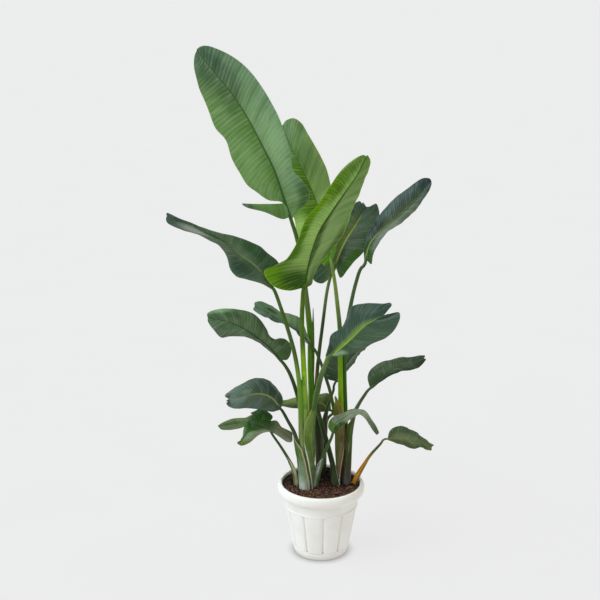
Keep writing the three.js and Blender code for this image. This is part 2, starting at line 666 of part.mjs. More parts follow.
// A blade with its midrib, which stands proud of the underside and thins out to the tip.
function blade(leaf) {
  const curves = bladeCurves(leaf);
  const grid = Array.from({ length: leaf.rows + 1 }, (_, row) => bladeRow(leaf, curves, row / leaf.rows));
  const ribColumn = COLUMNS.length + 1;
  const side = leaf.shows === 'upper' ? -1 : 1;
  const ribHeight = (t, column) => {
    if (column !== ribColumn) return 0;
    return side * THREE.MathUtils.lerp(leaf.radii.at(-1), RIB_TIP_HEIGHT, t);
  };
  const whole = sheet(grid, ribHeight);
  return leaf.tornStrip ? join([whole, tornStrip(leaf.tornStrip)]) : whole;
}

// A strip of the blade that has torn off from the rest and hangs from the rib alone. It stops just short
// of the point where its two edges meet.
const STRIP_ROWS = 6;
const STRIP_COLUMNS = [0, 0.5, 0.98];
const STRIP_END = 0.97;

function tornStrip({ top, bottom }) {
  const upperEdge = curveThrough(top);
  const lowerEdge = curveThrough(bottom);
  const grid = Array.from({ length: STRIP_ROWS + 1 }, (_, row) => STRIP_COLUMNS.map((share) => {
    const t = (row / STRIP_ROWS) * STRIP_END;
    return lowerEdge.getPointAt(t).lerp(upperEdge.getPointAt(t), share);
  }));
  return sheet(grid, () => 0);
}

// Every stalk, spike and root stub of one stem, fused
function stem(name) {
  const stalks = leaves.filter((leaf) => leaf.stem === name).map(stalkRod);
  const sheaths = spikes.filter((spike) => spike.stem === name)
    .map((spike) => rod(curveThrough(spike.points), spike.radii, 2 * spike.points.length));
  return join([rootStub(roots[name]), ...stalks, ...sheaths]);
}

// Materials and the finished plant
function mesh(name, geometry, color, roughness) {
  const material = new THREE.MeshStandardMaterial({ color, roughness, metalness: 0 });
  material.name = name;
  const piece = new THREE.Mesh(geometry, material);
  piece.name = name;
  return piece;
}

const STEM_COLOURS = {
  left_shoot: '#5f8a3c',
  back_shoot: '#4a4a30',
  right_shoot: '#6b7f3a',
  slate_leaf_stalk: '#57764a',
  drooping_leaf_stalk: '#5f7f66',
  front_left_leaf_stalk: '#5d7a50',
  low_right_leaf_stalk: '#a08038',
};

const plant = new THREE.Group();
plant.name = 'potted_bird_of_paradise';
plant.add(mesh('pot', pot(), '#f1f0ea', 0.35));
plant.add(mesh('soil', soil(), '#33241f', 0.95));
Object.keys(roots).forEach((name) => plant.add(mesh(name, stem(name), STEM_COLOURS[name], 0.5)));
leaves.forEach((leaf) => plant.add(mesh(`${leaf.name}_blade`, blade(leaf), leaf.colour, 0.45)));

export default plant;
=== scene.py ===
# %% [markdown]
# # A potted bird of paradise
#
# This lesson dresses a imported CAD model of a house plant: long leaf stalks rise in clasped shoots from
# the soil of a white fluted pot, and each carries one broad blade, ribbed by fine veins. The CAD model
# holds the plain forms. Here each of them gets a finer mesh and the finish of the real thing.
#
# All sizes are in metres, +Z is up, +X is right and the front of the plant faces -Y.

# %% Load the frame
import math
import random

import bpy
import numpy as np
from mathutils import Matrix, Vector, noise


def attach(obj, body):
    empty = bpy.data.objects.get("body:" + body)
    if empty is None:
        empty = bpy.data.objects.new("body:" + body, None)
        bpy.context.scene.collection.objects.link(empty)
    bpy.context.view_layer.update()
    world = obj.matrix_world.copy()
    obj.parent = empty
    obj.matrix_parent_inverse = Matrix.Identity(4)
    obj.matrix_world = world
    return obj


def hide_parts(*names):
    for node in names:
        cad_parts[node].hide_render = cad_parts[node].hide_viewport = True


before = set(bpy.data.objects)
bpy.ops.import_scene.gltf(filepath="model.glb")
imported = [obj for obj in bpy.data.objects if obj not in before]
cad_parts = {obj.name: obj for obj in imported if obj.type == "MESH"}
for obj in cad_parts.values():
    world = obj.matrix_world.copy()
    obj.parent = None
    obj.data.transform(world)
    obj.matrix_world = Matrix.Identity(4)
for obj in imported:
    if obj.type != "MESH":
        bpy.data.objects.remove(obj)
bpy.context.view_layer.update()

bpy.ops.object.select_all(action="DESELECT")


# %% [markdown]
# ## Colours and shader nodes
#
# Colours are easiest to judge as the 0 to 255 values of a screen, but a shader wants linear numbers, so
# one helper turns the first into the second.

# %% Colours
def colour(red, green, blue):
    """A screen colour, from 0 to 255, as the linear colour that a shader wants."""
    def linear(value):
        share = value / 255
        return share / 12.92 if share <= 0.04045 else ((share + 0.055) / 1.055) ** 2.4
    return (linear(red), linear(green), linear(blue), 1.0)


print("mid grey is", round(colour(128, 128, 128)[0], 3), "in linear light")

# %% [markdown]
# Every finish is one Principled shader, fed by small nodes. A whole tree could be built by hand in the
# shader editor, but one short call for each node keeps a finish readable from top to bottom.

# %% Shader nodes
def new_finish(name):
    """A material with one Principled shader. Gives the material, its node tree and the shader."""
    material = bpy.data.materials.new(name)
    material.use_nodes = True
    tree = material.node_tree
    tree.nodes.clear()
    output = tree.nodes.new("ShaderNodeOutputMaterial")
    shader = tree.nodes.new("ShaderNodeBsdfPrincipled")
    tree.links.new(shader.outputs["BSDF"], output.inputs["Surface"])
    return material, tree, shader


def add_node(tree, kind, inputs, **settings):
    """Adds a shader node. Each input is a value, or another node's output, which is linked."""
    made = tree.nodes.new("ShaderNode" + kind)
    for setting, value in settings.items():
        setattr(made, setting, value)
    for socket, value in inputs.items():
        if isinstance(value, bpy.types.NodeSocket):
            tree.links.new(value, made.inputs[socket])
        else:
            made.inputs[socket].default_value = value
    return made


print("ready: new_finish, add_node")

# %% [markdown]
# All finishes on this plant are made of the same few steps: mix two colours, do a sum, fade from one
# value to another, draw a cloudy pattern and lift it as a bump.

# %% Node shorthands
def mix(tree, share, first, second, how="MIX"):
    """The colour between two others, which are at inputs 6 and 7 of the Mix node."""
    mixer = add_node(tree, "Mix", {0: share, 6: first, 7: second}, data_type="RGBA", blend_type=how)
    return mixer.outputs[2]


def calculate(tree, what, first, second=0.0, third=0.0):
    return add_node(tree, "Math", {0: first, 1: second, 2: third}, operation=what).outputs[0]


def fade(tree, value, start, end, low=0.0, high=1.0):
    """Goes smoothly from low to high as the value goes from start to end."""
    inputs = {"Value": value, "From Min": start, "From Max": end, "To Min": low, "To Max": high}
    return add_node(tree, "MapRange", inputs, interpolation_type="SMOOTHSTEP").outputs["Result"]


def speckle(tree, vector, scale, detail=2.0, roughness=0.5):
    """A cloudy pattern, about 0.5 on average."""
    inputs = {"Vector": vector, "Scale": scale, "Detail": detail, "Roughness": roughness}
    return add_node(tree, "TexNoise", inputs).outputs["Fac"]


def set_bump(tree, shader, height, strength, distance):
    bump = add_node(tree, "Bump", {"Height": height, "Strength": strength, "Distance": distance})
    tree.links.new(bump.outputs["Normal"], shader.inputs["Normal"])


print("ready: mix, calculate, fade, speckle, set_bump")

# %% [markdown]
# A finished piece gets its material, rides on the part's one body and, where it has them, hides the CAD
# nodes that it stands for.

# %% Dress a piece
def finish_piece(piece, material, slot_name, *nodes):
    """Dresses a finished piece, puts it on the part's one body and hides the CAD nodes it stands for."""
    piece.data.materials.clear()
    piece.data.materials.append(material)
    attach(piece, "root")
    if nodes:
        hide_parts(*nodes)
    print(piece.name, "has", sum(len(face.vertices) - 2 for face in piece.data.polygons), "triangles")


print("ready: finish_piece")

# %% [markdown]
# ## Smooth curves
#
# A leaf's edges, its midrib and its stalk are all curves through a few given points. The
# centripetal Catmull-Rom curve passes through each point without loops or overshoot, also where points
# are unevenly spaced, and it is the curve that the CAD model uses, so the two models stay alike.

# %% Smooth curve
CURVE_STEPS = 24


def curve_through(points):
    """Points close together on the smooth curve through the given ones, CURVE_STEPS for each stretch."""
    given = np.array(points, float)
    first = 2 * given[0] - given[1]
    last = 2 * given[-1] - given[-2]
    knots = np.vstack([first, given, last])
    spans = np.maximum(np.linalg.norm(np.diff(knots, axis=0), axis=1), 1e-9) ** 0.5
    share = np.linspace(0, 1, CURVE_STEPS, endpoint=False)[:, None]
    curve = []
    for index in range(len(given) - 1):
        a, b, c, d = knots[index:index + 4]
        before, here, after = spans[index:index + 3]
        leave = (b - a) / before - (c - a) / (before + here) + (c - b) / here
        arrive = (c - b) / here - (d - b) / (here + after) + (d - c) / after
        leave, arrive = leave * here, arrive * here
        curve.append(b + share * leave
                     + share ** 2 * (3 * (c - b) - 2 * leave - arrive)
                     + share ** 3 * (2 * (b - c) + leave + arrive))
    return np.vstack([*curve, given[-1:]])


print("steps on a stretch of curve:", CURVE_STEPS)

# %% [markdown]
# Rows of a blade and of a stalk are spread evenly by length, not by the given points.

# %% Places on a curve
def along(curve, shares):
    """Points at the given shares of a curve's length."""
    lengths = np.concatenate([[0], np.cumsum(np.linalg.norm(np.diff(curve, axis=0), axis=1))])
    places = np.clip(shares, 0, 1) * lengths[-1]
    return np.column_stack([np.interp(places, lengths, curve[:, axis]) for axis in range(3)])


def length_of(curve):
    return float(np.linalg.norm(np.diff(curve, axis=0), axis=1).sum())


def unit(vectors):
    return vectors / np.maximum(np.linalg.norm(vectors, axis=-1, keepdims=True), 1e-12)


print("ready: along, length_of, unit")

# %% [markdown]
# ## Camera, floor and light
#
# The camera stands where the photograph was taken: a little left of the middle, 3.2 m away and above the
# crown, tilted 17 degrees down, with a long lens.

# %% Camera
CAMERA_PLACE = (-0.058, -3.2, 1.72)
CAMERA_TILT = 72.8
CAMERA_LENS = 76.21

scene = bpy.context.scene
scene.view_settings.view_transform = "Standard"

bpy.ops.object.camera_add(location=CAMERA_PLACE, rotation=(math.radians(CAMERA_TILT), 0, 0))
camera = bpy.context.object
camera.name = "camera"
camera.data.sensor_width = 36
camera.data.lens = CAMERA_LENS
camera.data.clip_end = 200
scene.camera = camera
print("lens", round(camera.data.lens, 1), "mm")

# %% [markdown]
# The floor of a photo studio is so evenly bright that it has no horizon and hardly a shadow. A white
# plane under lamps would still darken with distance, so this one is a mid grey that also glows softly.
# An Ambient Occlusion node finds where the pot stands close and takes most of the glow away there. That
# is a painted contact shadow: a thin dark line and nothing else.

# %% Floor
FLOOR_SIZE = 120
FLOOR_GLOW = 4.45
CONTACT_REACH = 0.028
CONTACT_GLOW = 0.26

bpy.ops.mesh.primitive_plane_add(size=FLOOR_SIZE)
floor = bpy.context.object
floor.name = "floor"
floor_finish, tree, shader = new_finish("pale_floor")
place = add_node(tree, "TexCoord", {}).outputs["Object"]
grain = speckle(tree, place, 3.0)
pale = mix(tree, fade(tree, grain, 0.3, 0.7), colour(84, 84, 84), colour(86, 86, 86))
tree.links.new(pale, shader.inputs["Base Color"])
# Painted contact shadow: the glow fades where the pot stands close.
openness = add_node(tree, "AmbientOcclusion", {"Distance": CONTACT_REACH}, samples=8).outputs["AO"]
lit = fade(tree, openness, 0.0, 1.0, CONTACT_GLOW, 1.0)
glow = mix(tree, lit, (0.0, 0.0, 0.0, 1.0), colour(113, 113, 113))
tree.links.new(glow, shader.inputs["Emission Color"])
shader.inputs["Emission Strength"].default_value = FLOOR_GLOW
shader.inputs["Roughness"].default_value = 0.9
shader.inputs["Specular IOR Level"].default_value = 0.0
floor.data.materials.append(floor_finish)
print("floor", FLOOR_SIZE, "m wide")

# %% [markdown]
# The light comes from a weak pale sky and three suns. The sky alone would leave the leaves flat, so it
# stays weak. A low view sees past the floor, so the camera, and only the camera, sees a pale backdrop.

# %% Sky
SKY_STRENGTH = 0.33

world = bpy.data.worlds.new("studio")
scene.world = world
world.use_nodes = True
sky_tree = world.node_tree
sky = sky_tree.nodes["Background"]
sky.inputs["Color"].default_value = (0.95, 0.98, 1.0, 1.0)
sky.inputs["Strength"].default_value = SKY_STRENGTH
backdrop = add_node(sky_tree, "Background", {"Color": colour(236, 237, 237), "Strength": 1.0})
seen = add_node(sky_tree, "LightPath", {}).outputs["Is Camera Ray"]
either = add_node(sky_tree, "MixShader", {0: seen, 1: sky.outputs[0], 2: backdrop.outputs[0]})
sky_tree.links.new(either.outputs[0], sky_tree.nodes["World Output"].inputs["Surface"])
print("sky strength", SKY_STRENGTH)

# %% [markdown]
# The suns are very broad, which makes their shadows as soft as a big lamp's: the main one from the left,
# a faint one from behind and above that rims the leaves, and a warm one from the right that fills the
# shade. Area lamps could do the same, but suns light near and far leaves alike.

# %% Suns
def add_sun(name, turn, height, strength, spread, tint):
    """A sun at a turn (0 is the front, positive is right) and a height above the floor, in degrees."""
    bpy.ops.object.light_add(type="SUN")
    sun = bpy.context.object
    sun.name = name
    sun.rotation_euler = (math.radians(90 - height), 0, math.radians(turn))
    sun.data.energy = strength
    sun.data.angle = math.radians(spread)
    sun.data.color = tint
    print(name, "at", turn, "degrees,", height, "high")


add_sun("key_light", -70, 50, 2.6, 60, (0.87, 0.945, 1.0))
add_sun("top_light", 160, 75, 0.6, 60, (1.0, 0.99, 0.96))
add_sun("fill_light", 60, 40, 0.45, 90, (1.0, 0.84, 0.58))

# %% [markdown]
# ## The pot
#
# The real pot is one moulding of white plastic: a thick rolled collar, a plain band under it, eleven
# shallow panels parted by V grooves, and a plain foot. It could be extruded ring by ring, but it is a
# turned form apart from its panels, so the half outline is spun round the middle, and the panels are
# then pressed into the spun wall by moving its points in or out.

# %% Pot sizes
POT_TURN_STEPS = 440
PANELS = 11
FIRST_GROOVE = 3.27
GROOVE_HALF_WIDTH = 3
GROOVE_DEPTH = 0.0035
SHOULDER_HALF_WIDTH = 5.3
SHOULDER_DEPTH = 0.0005
PANEL_CROWN = 0.001
PANEL_BOTTOM = 0.025
PANEL_TOP = 0.141
PANEL_SLACK = 0.0005
WALL_FOOT_RADIUS = 0.0782
WALL_FLARE = 0.1767
WALL_SLACK = 0.002
print("the pot has", PANELS, "panels,", round(PANEL_TOP - PANEL_BOTTOM, 3), "m high")

# %% [markdown]
# The outline gives radius and height. It runs up the outside from the base, over the collar and down the
# inside to the floor, with more points where the real edge is round.

# %% Pot outline
pot_outline = [
    (0.0, 0.0), (0.030, 0.0), (0.060, 0.0), (0.0690, 0.0), (0.0708, 0.0003), (0.0721, 0.0012),
    (0.0730, 0.0025), (0.0742, 0.0060), (0.0755, 0.0100), (0.0764, 0.0140), (0.0769, 0.0180),
    (0.0769, 0.0205), (0.0766, 0.0220), (0.0770, 0.0230), (0.0780, 0.0240), (0.0785, 0.0250),
    (0.0789, 0.0270), (0.0812, 0.0400), (0.0840, 0.0560), (0.0868, 0.0720), (0.0896, 0.0880),
    (0.0925, 0.1040), (0.0953, 0.1200), (0.0976, 0.1330), (0.0987, 0.1393), (0.0990, 0.1410),
    (0.0997, 0.1415), (0.1009, 0.1417), (0.1014, 0.1421), (0.1015, 0.1433), (0.1014, 0.1444),
    (0.1010, 0.1452), (0.1002, 0.1458), (0.1000, 0.1470), (0.1003, 0.1500), (0.1015, 0.1620),
    (0.1028, 0.1740), (0.1030, 0.1757), (0.1038, 0.1765), (0.1072, 0.1764),
    (0.1108, 0.1768), (0.1140, 0.1782), (0.1170, 0.1808), (0.1188, 0.1842), (0.1198, 0.1880),
    (0.1200, 0.1915), (0.1198, 0.1952), (0.1190, 0.1990), (0.1174, 0.2025), (0.1152, 0.2052),
    (0.1125, 0.2066), (0.1110, 0.2070), (0.1098, 0.2068), (0.1086, 0.2060), (0.1078, 0.2045),
    (0.1073, 0.2015), (0.1069, 0.1990), (0.1053, 0.1915), (0.1035, 0.1840), (0.1002, 0.1780),
    (0.0970, 0.1720), (0.0925, 0.1410), (0.0827, 0.0885), (0.0691, 0.0160), (0.0674, 0.0070),
    (0.0660, 0.0052), (0.0640, 0.0050), (0.030, 0.0050), (0.0, 0.0050),
]
print("outline points:", len(pot_outline))

# %% [markdown]
# An outline becomes a body when it is spun round the middle. The soil needs that too, so it is a helper.

# %% Spin the pot
MERGE_DISTANCE = 0.00002


def spin_outline(name, outline, steps):
    """Spins an outline round the upright through the middle into a closed body."""
    mesh = bpy.data.meshes.new(name)
    points = [(radius, 0, height) for radius, height in outline]
    edges = [(index, index + 1) for index in range(len(points) - 1)]
    mesh.from_pydata(points, edges, [])
    body = bpy.data.objects.new(name, mesh)
    scene.collection.objects.link(body)
    bpy.ops.object.select_all(action="DESELECT")
    bpy.context.view_layer.objects.active = body
    body.select_set(True)
    bpy.ops.object.mode_set(mode="EDIT")
    bpy.ops.mesh.select_all(action="SELECT")
    bpy.ops.mesh.spin(steps=steps, angle=2 * math.pi, center=(0, 0, 0), axis=(0, 0, 1))
    bpy.ops.mesh.select_all(action="SELECT")
    bpy.ops.mesh.remove_doubles(threshold=MERGE_DISTANCE)
    bpy.ops.mesh.normals_make_consistent(inside=False)
    bpy.ops.object.mode_set(mode="OBJECT")
    return body


pot = spin_outline("pot_body", pot_outline, POT_TURN_STEPS)
print("pot points:", len(pot.data.vertices))

# %% [markdown]
# Each panel swells a little in its middle, ends in a small shoulder and drops into a V groove.

# %% Press in the panels
def panel_relief(x, y, z):
    """How far a point of the pot's outer wall is pressed out or in by its panel."""
    if not PANEL_BOTTOM - PANEL_SLACK <= z <= PANEL_TOP + PANEL_SLACK:
        return 0.0
    span = 360 / PANELS
    angle = (math.degrees(math.atan2(x, -y)) - FIRST_GROOVE) % span
    from_groove = min(angle, span - angle)
    across = angle / span
    relief = PANEL_CROWN * 4 * across * (1 - across)
    if from_groove < SHOULDER_HALF_WIDTH:
        relief -= SHOULDER_DEPTH
    if from_groove < GROOVE_HALF_WIDTH:
        relief -= (GROOVE_DEPTH - SHOULDER_DEPTH) * (1 - from_groove / GROOVE_HALF_WIDTH)
    return relief


for vertex in pot.data.vertices:
    x, y, z = vertex.co
    radius = math.hypot(x, y)
    outer_wall = WALL_FOOT_RADIUS + (z - PANEL_BOTTOM) * WALL_FLARE
    if radius > outer_wall - WALL_SLACK:
        grown = 1 + panel_relief(x, y, z) / radius
        vertex.co = (x * grown, y * grown, z)
print("pot box:", [round(size, 4) for size in pot.dimensions])

# %% [markdown]
# The floor of a nursery pot has drain holes. They could be left out, since the soil hides them, but the
# underside can be seen, so one cylinder is copied round and cut out of the floor with Boolean modifiers.

# %% Drain holes
DRAIN_HOLES = 6
DRAIN_HOLE_RADIUS = 0.005
DRAIN_CIRCLE_RADIUS = 0.042
DRILL_HEIGHT = 0.0025
DRILL_LENGTH = 0.02
POT_SMOOTH_ANGLE = 24

drills = []
for hole in range(DRAIN_HOLES):
    turn = (hole + 0.5) / DRAIN_HOLES * 2 * math.pi
    centre = (DRAIN_CIRCLE_RADIUS * math.cos(turn), DRAIN_CIRCLE_RADIUS * math.sin(turn), DRILL_HEIGHT)
    bpy.ops.mesh.primitive_cylinder_add(
        vertices=32, radius=DRAIN_HOLE_RADIUS, depth=DRILL_LENGTH, location=centre)
    drills.append(bpy.context.object)
bpy.ops.object.select_all(action="DESELECT")
for drill in drills:
    drill.select_set(True)
bpy.context.view_layer.objects.active = drills[0]
bpy.ops.object.join()
drilling = pot.modifiers.new("drain_holes", "BOOLEAN")
drilling.operation = "DIFFERENCE"
drilling.object = drills[0]
bpy.ops.object.select_all(action="DESELECT")
pot.select_set(True)
bpy.context.view_layer.objects.active = pot
bpy.ops.object.modifier_apply(modifier=drilling.name)
bpy.data.objects.remove(drills[0])
bpy.ops.object.shade_smooth_by_angle(angle=math.radians(POT_SMOOTH_ANGLE))
print("drain holes:", DRAIN_HOLES)

# %% [markdown]
# White pot plastic is satin, not mirror-like, and never quite even: the moulding leaves faint long
# ripples, handling leaves dull patches, and a little dust spots it. All of this is mixed from cloud
# patterns on the pot's own coordinates, and the wall greys a little towards its foot. An Ambient
# Occlusion node finds the grooves and creases, and painted shade darkens them.

# %% Pot finish
CREASE_REACH = 0.006

pot_finish, tree, shader = new_finish("white_pot_plastic")
place = add_node(tree, "TexCoord", {}).outputs["Object"]
height = add_node(tree, "SeparateXYZ", {"Vector": place}).outputs["Z"]
cloud = speckle(tree, place, 14.0, 3.0)
dust = speckle(tree, place, 160.0, 4.0, 0.7)
body_white = mix(tree, fade(tree, cloud, 0.35, 0.65), colour(243, 241, 234), colour(248, 247, 242))
# The wall is a little darker towards its foot.
foot_darkening = fade(tree, height, 0.03, 0.0, 0.0, 0.25)
foot_darkened = mix(tree, foot_darkening, body_white, colour(222, 218, 205))
spotted = mix(tree, fade(tree, dust, 0.66, 0.78, 0.0, 0.18), foot_darkened, colour(205, 198, 184))
# Painted shade: an Ambient Occlusion node darkens the grooves, the steps and the collar's underside.
creases = add_node(tree, "AmbientOcclusion", {"Distance": CREASE_REACH}, samples=8, only_local=True)
painted_crease_shade = fade(tree, creases.outputs["AO"], 0.9, 0.4, 0.0, 0.75)
crease_shaded = mix(tree, painted_crease_shade, spotted, colour(150, 148, 138))
tree.links.new(crease_shaded, shader.inputs["Base Color"])
gloss = fade(tree, cloud, 0.3, 0.7, 0.3, 0.42)
tree.links.new(gloss, shader.inputs["Roughness"])
shader.inputs["Coat Weight"].default_value = 0.15
shader.inputs["Coat Roughness"].default_value = 0.25
ripple = speckle(tree, place, 30.0, 2.0)
set_bump(tree, shader, ripple, 0.12, 0.001)
finish_piece(pot, pot_finish, "pot_plastic", "pot")

# %% [markdown]
# ## The soil
#
# Potting mix is dark, coarse and crumbly, with a few tan bits of bark. Its body is spun like the pot, a
# hair inside the pot's wall.

# %% Soil body
SOIL_LEVEL = 0.2
SOIL_TURN_STEPS = 300
SOIL_RINGS = 62
SOIL_TOP_RADIUS = 0.1064
soil_side = [(0.0, 0.0053), (0.0664, 0.0053), (0.0921, 0.141), (0.0966, 0.172), (0.1031, 0.184),
             (SOIL_TOP_RADIUS, 0.1985)]
soil_rings = [SOIL_TOP_RADIUS * (1 - ring / SOIL_RINGS) for ring in range(1, SOIL_RINGS + 1)]
soil_top = [(radius, SOIL_LEVEL) for radius in soil_rings]

soil = spin_outline("soil_body", soil_side + soil_top, SOIL_TURN_STEPS)
print("soil points:", len(soil.data.vertices))

# %% [markdown]
# The top is raised and lowered point by point with a noise function. A displacement modifier could do
# it, but the bark chips have to lie on the same surface, so one function gives its height to both.

# %% Soil surface
TOP_SLACK = 0.0005
SWELL_HEIGHT = 0.0022
CRUMB_HEIGHT = 0.006
GRIT_HEIGHT = 0.0014
SOIL_SMOOTH_ANGLE = 50


def soil_height(x, y):
    """The height of the crumbly soil at a place: broad swells, crumbs and grit."""
    swell = noise.noise((x * 22, y * 22, 3.1)) * SWELL_HEIGHT
    crumbs = abs(noise.noise((x * 100, y * 100, 7.7))) * CRUMB_HEIGHT
    grit = noise.noise((x * 380, y * 380, 1.3)) * GRIT_HEIGHT
    return SOIL_LEVEL + swell + crumbs + grit - SWELL_HEIGHT


for vertex in soil.data.vertices:
    x, y, z = vertex.co
    if z > SOIL_LEVEL - TOP_SLACK:
        vertex.co.z = soil_height(x, y)
soil.select_set(True)
bpy.ops.object.shade_smooth_by_angle(angle=math.radians(SOIL_SMOOTH_ANGLE))
print("the soil stands up to", round(max(vertex.co.z for vertex in soil.data.vertices), 4), "m")

# %% [markdown]
# The mix is browner in front, with damp patches and tan flecks. At the back, where the shoots shade it,
# painted shade makes it nearly black.

# %% Soil finish
SHADE_START = -0.045
SHADE_END = 0.01

soil_finish, tree, shader = new_finish("potting_mix")
place = add_node(tree, "TexCoord", {}).outputs["Object"]
crumb = speckle(tree, place, 260.0, 4.0, 0.65)
patch = speckle(tree, place, 60.0, 2.0)
fleck = speckle(tree, place, 420.0, 1.0)
back = add_node(tree, "SeparateXYZ", {"Vector": place}).outputs["Y"]
dark = mix(tree, fade(tree, crumb, 0.36, 0.66), colour(14, 10, 9), colour(128, 94, 78))
damp_and_back_shade = mix(tree, fade(tree, patch, 0.4, 0.62, 0.0, 0.7), dark, colour(40, 28, 24))
# Painted shade: the mix turns nearly black towards the back.
damp_and_back_shade = mix(tree, fade(tree, back, SHADE_START, SHADE_END, 0.0, 0.85), damp_and_back_shade, colour(15, 12, 12))
flecked = mix(tree, fade(tree, fleck, 0.69, 0.75, 0.0, 0.8), damp_and_back_shade, colour(170, 130, 92))
tree.links.new(flecked, shader.inputs["Base Color"])
shader.inputs["Roughness"].default_value = 0.95
shader.inputs["Specular IOR Level"].default_value = 0.15
set_bump(tree, shader, crumb, 0.8, 0.003)
finish_piece(soil, soil_finish, "soil", "soil")

# %% [markdown]
# Bark lies on the mix as small stones. Particles could scatter them, but one chip that is modelled, and
# then copied with its own stretch, turn and size, gives one plain mesh.

# %% Bark chips
CHIP_SPREAD = 0.103
CHIP_STRETCH = ((0.7, 1.6), (0.6, 1.1), (0.35, 0.75))


def scatter_chips(name, count, low, high, seed, material):
    """Lays small stones of bark over the soil: one is modelled, the rest are its turned copies."""
    chance = random.Random(seed)
    bpy.ops.object.select_all(action="DESELECT")
    bpy.ops.mesh.primitive_ico_sphere_add(subdivisions=1, radius=1)
    model = bpy.context.object
    shape = np.array([vertex.co for vertex in model.data.vertices])
    faces = np.array([face.vertices for face in model.data.polygons])
    points, sides = [], []
    for _ in range(count):
        distance = CHIP_SPREAD * math.sqrt(chance.random())
        turn = chance.uniform(0, 2 * math.pi)
        x, y = distance * math.cos(turn), distance * math.sin(turn)
        size = chance.uniform(low, high)
        stretch = np.array([chance.uniform(*limits) for limits in CHIP_STRETCH])
        jag = np.array([[chance.uniform(0.8, 1.2)] for _ in shape])
        spin = Vector((0, 0, 1)).rotation_difference(
            Vector((chance.uniform(-1, 1), chance.uniform(-1, 1), 1.2)).normalized()).to_matrix()
        yaw = chance.uniform(0, 2 * math.pi)
        cosine, sine = math.cos(yaw), math.sin(yaw)
        roll = np.array([[cosine, -sine, 0], [sine, cosine, 0], [0, 0, 1]])
        chip = (shape * jag * stretch * size) @ roll.T @ np.array(spin).T
        base = soil_height(x, y) + size * 0.15
        sides.extend((faces + len(points) * len(shape)).tolist())
        points.append(chip + np.array([x, y, base]))
    chips_mesh = bpy.data.meshes.new(name)
    chips_mesh.from_pydata(np.vstack(points).tolist(), [], sides)
    chips = bpy.data.objects.new(name, chips_mesh)
    scene.collection.objects.link(chips)
    bpy.data.objects.remove(model)
    finish_piece(chips, material, "soil")


print("ready: scatter_chips")

# %% [markdown]
# The chips get the same painted shade towards the back as the mix.
# Tan ones are freshly broken, the dark ones are soaked.

# %% Chip finish
CHIPS = 900
TAN_SHARE = 0.05
DARK_SIZES = (0.0012, 0.0038)
TAN_SIZES = (0.001, 0.0024)


def chip_finish(name, low, high):
    made, tree, shader = new_finish(name)
    place = add_node(tree, "TexCoord", {}).outputs["Object"]
    back = add_node(tree, "SeparateXYZ", {"Vector": place}).outputs["Y"]
    grain = mix(tree, fade(tree, speckle(tree, place, 90.0, 2.0), 0.35, 0.65), low, high)
    # Painted shade: darker towards the back, as on the mix.
    shaded = mix(tree, fade(tree, back, SHADE_START, SHADE_END, 0.0, 0.75), grain, colour(15, 12, 12))
    tree.links.new(shaded, shader.inputs["Base Color"])
    shader.inputs["Roughness"].default_value = 0.9
    shader.inputs["Specular IOR Level"].default_value = 0.2
    set_bump(tree, shader, speckle(tree, place, 500.0), 0.5, 0.001)
    return made


scatter_chips("dark_chips", CHIPS, *DARK_SIZES, 3,
              chip_finish("dark_bark", colour(12, 9, 9), colour(140, 100, 80)))
scatter_chips("tan_chips", int(CHIPS * TAN_SHARE), *TAN_SIZES, 8,
              chip_finish("tan_bark", colour(150, 110, 70), colour(205, 170, 125)))

# %% [markdown]
# ## How a blade is made
#
# Each blade hangs on three curves: its midrib and its two edges. Rows run from the midrib to the edges
# and lean towards the tip, as the veins do, so a pattern that follows the rows follows the veins. A
# blade could be cut from a plane and bent with lattices, but sixteen blades bent by hand would never fit
# their CAD solids.

# %% Blade edges
VEIN_LEAD = 0.22
FOOT_HALF_WIDTH = 0.0045
RIB_TIP_RADIUS = 0.0007
RIB_COLUMNS = (0.3, 0.55, 0.8, 1.0, 1.3)
OUTER_COLUMNS = 16
ROWS_A_PLEAT = 4
PLEAT_PITCH = 0.007
PLEAT_HEIGHT = 0.00022
BLADE_HALF_THICKNESS = 0.0006
EDGE_THINNING = 0.00025
CHANNEL_DEPTH = 0.32
TIP_CLOSENESS = 0.12
BLADE_SMOOTH_ANGLE = 60
FLAT_SKIN = 0.1


def blade_edges(rib, left, right):
    """The two edges as curves from the blade's foot to just beside its tip."""
    foot, tip = np.array(rib[0], float), np.array(rib[-1], float)
    direction = unit(np.array(rib[1]) - foot)
    across = np.array(right[0], float) - np.array(left[0], float)
    across = unit(across - direction * across.dot(direction))
    curves = []
    for side, points in ((-1, left), (1, right)):
        corner = foot + side * FOOT_HALF_WIDTH * across
        beside_tip = tip + TIP_CLOSENESS * (np.array(points[-1]) - tip)
        curves.append(curve_through([corner, *points, beside_tip]))
    return curves


print("a blade starts", 2 * FOOT_HALF_WIDTH, "m wide")

# %% [markdown]
# One half is bulged between midrib and edge, waved towards the edge, and pleated along its veins. Its
# columns stand close beside the midrib, where the form turns sharply.

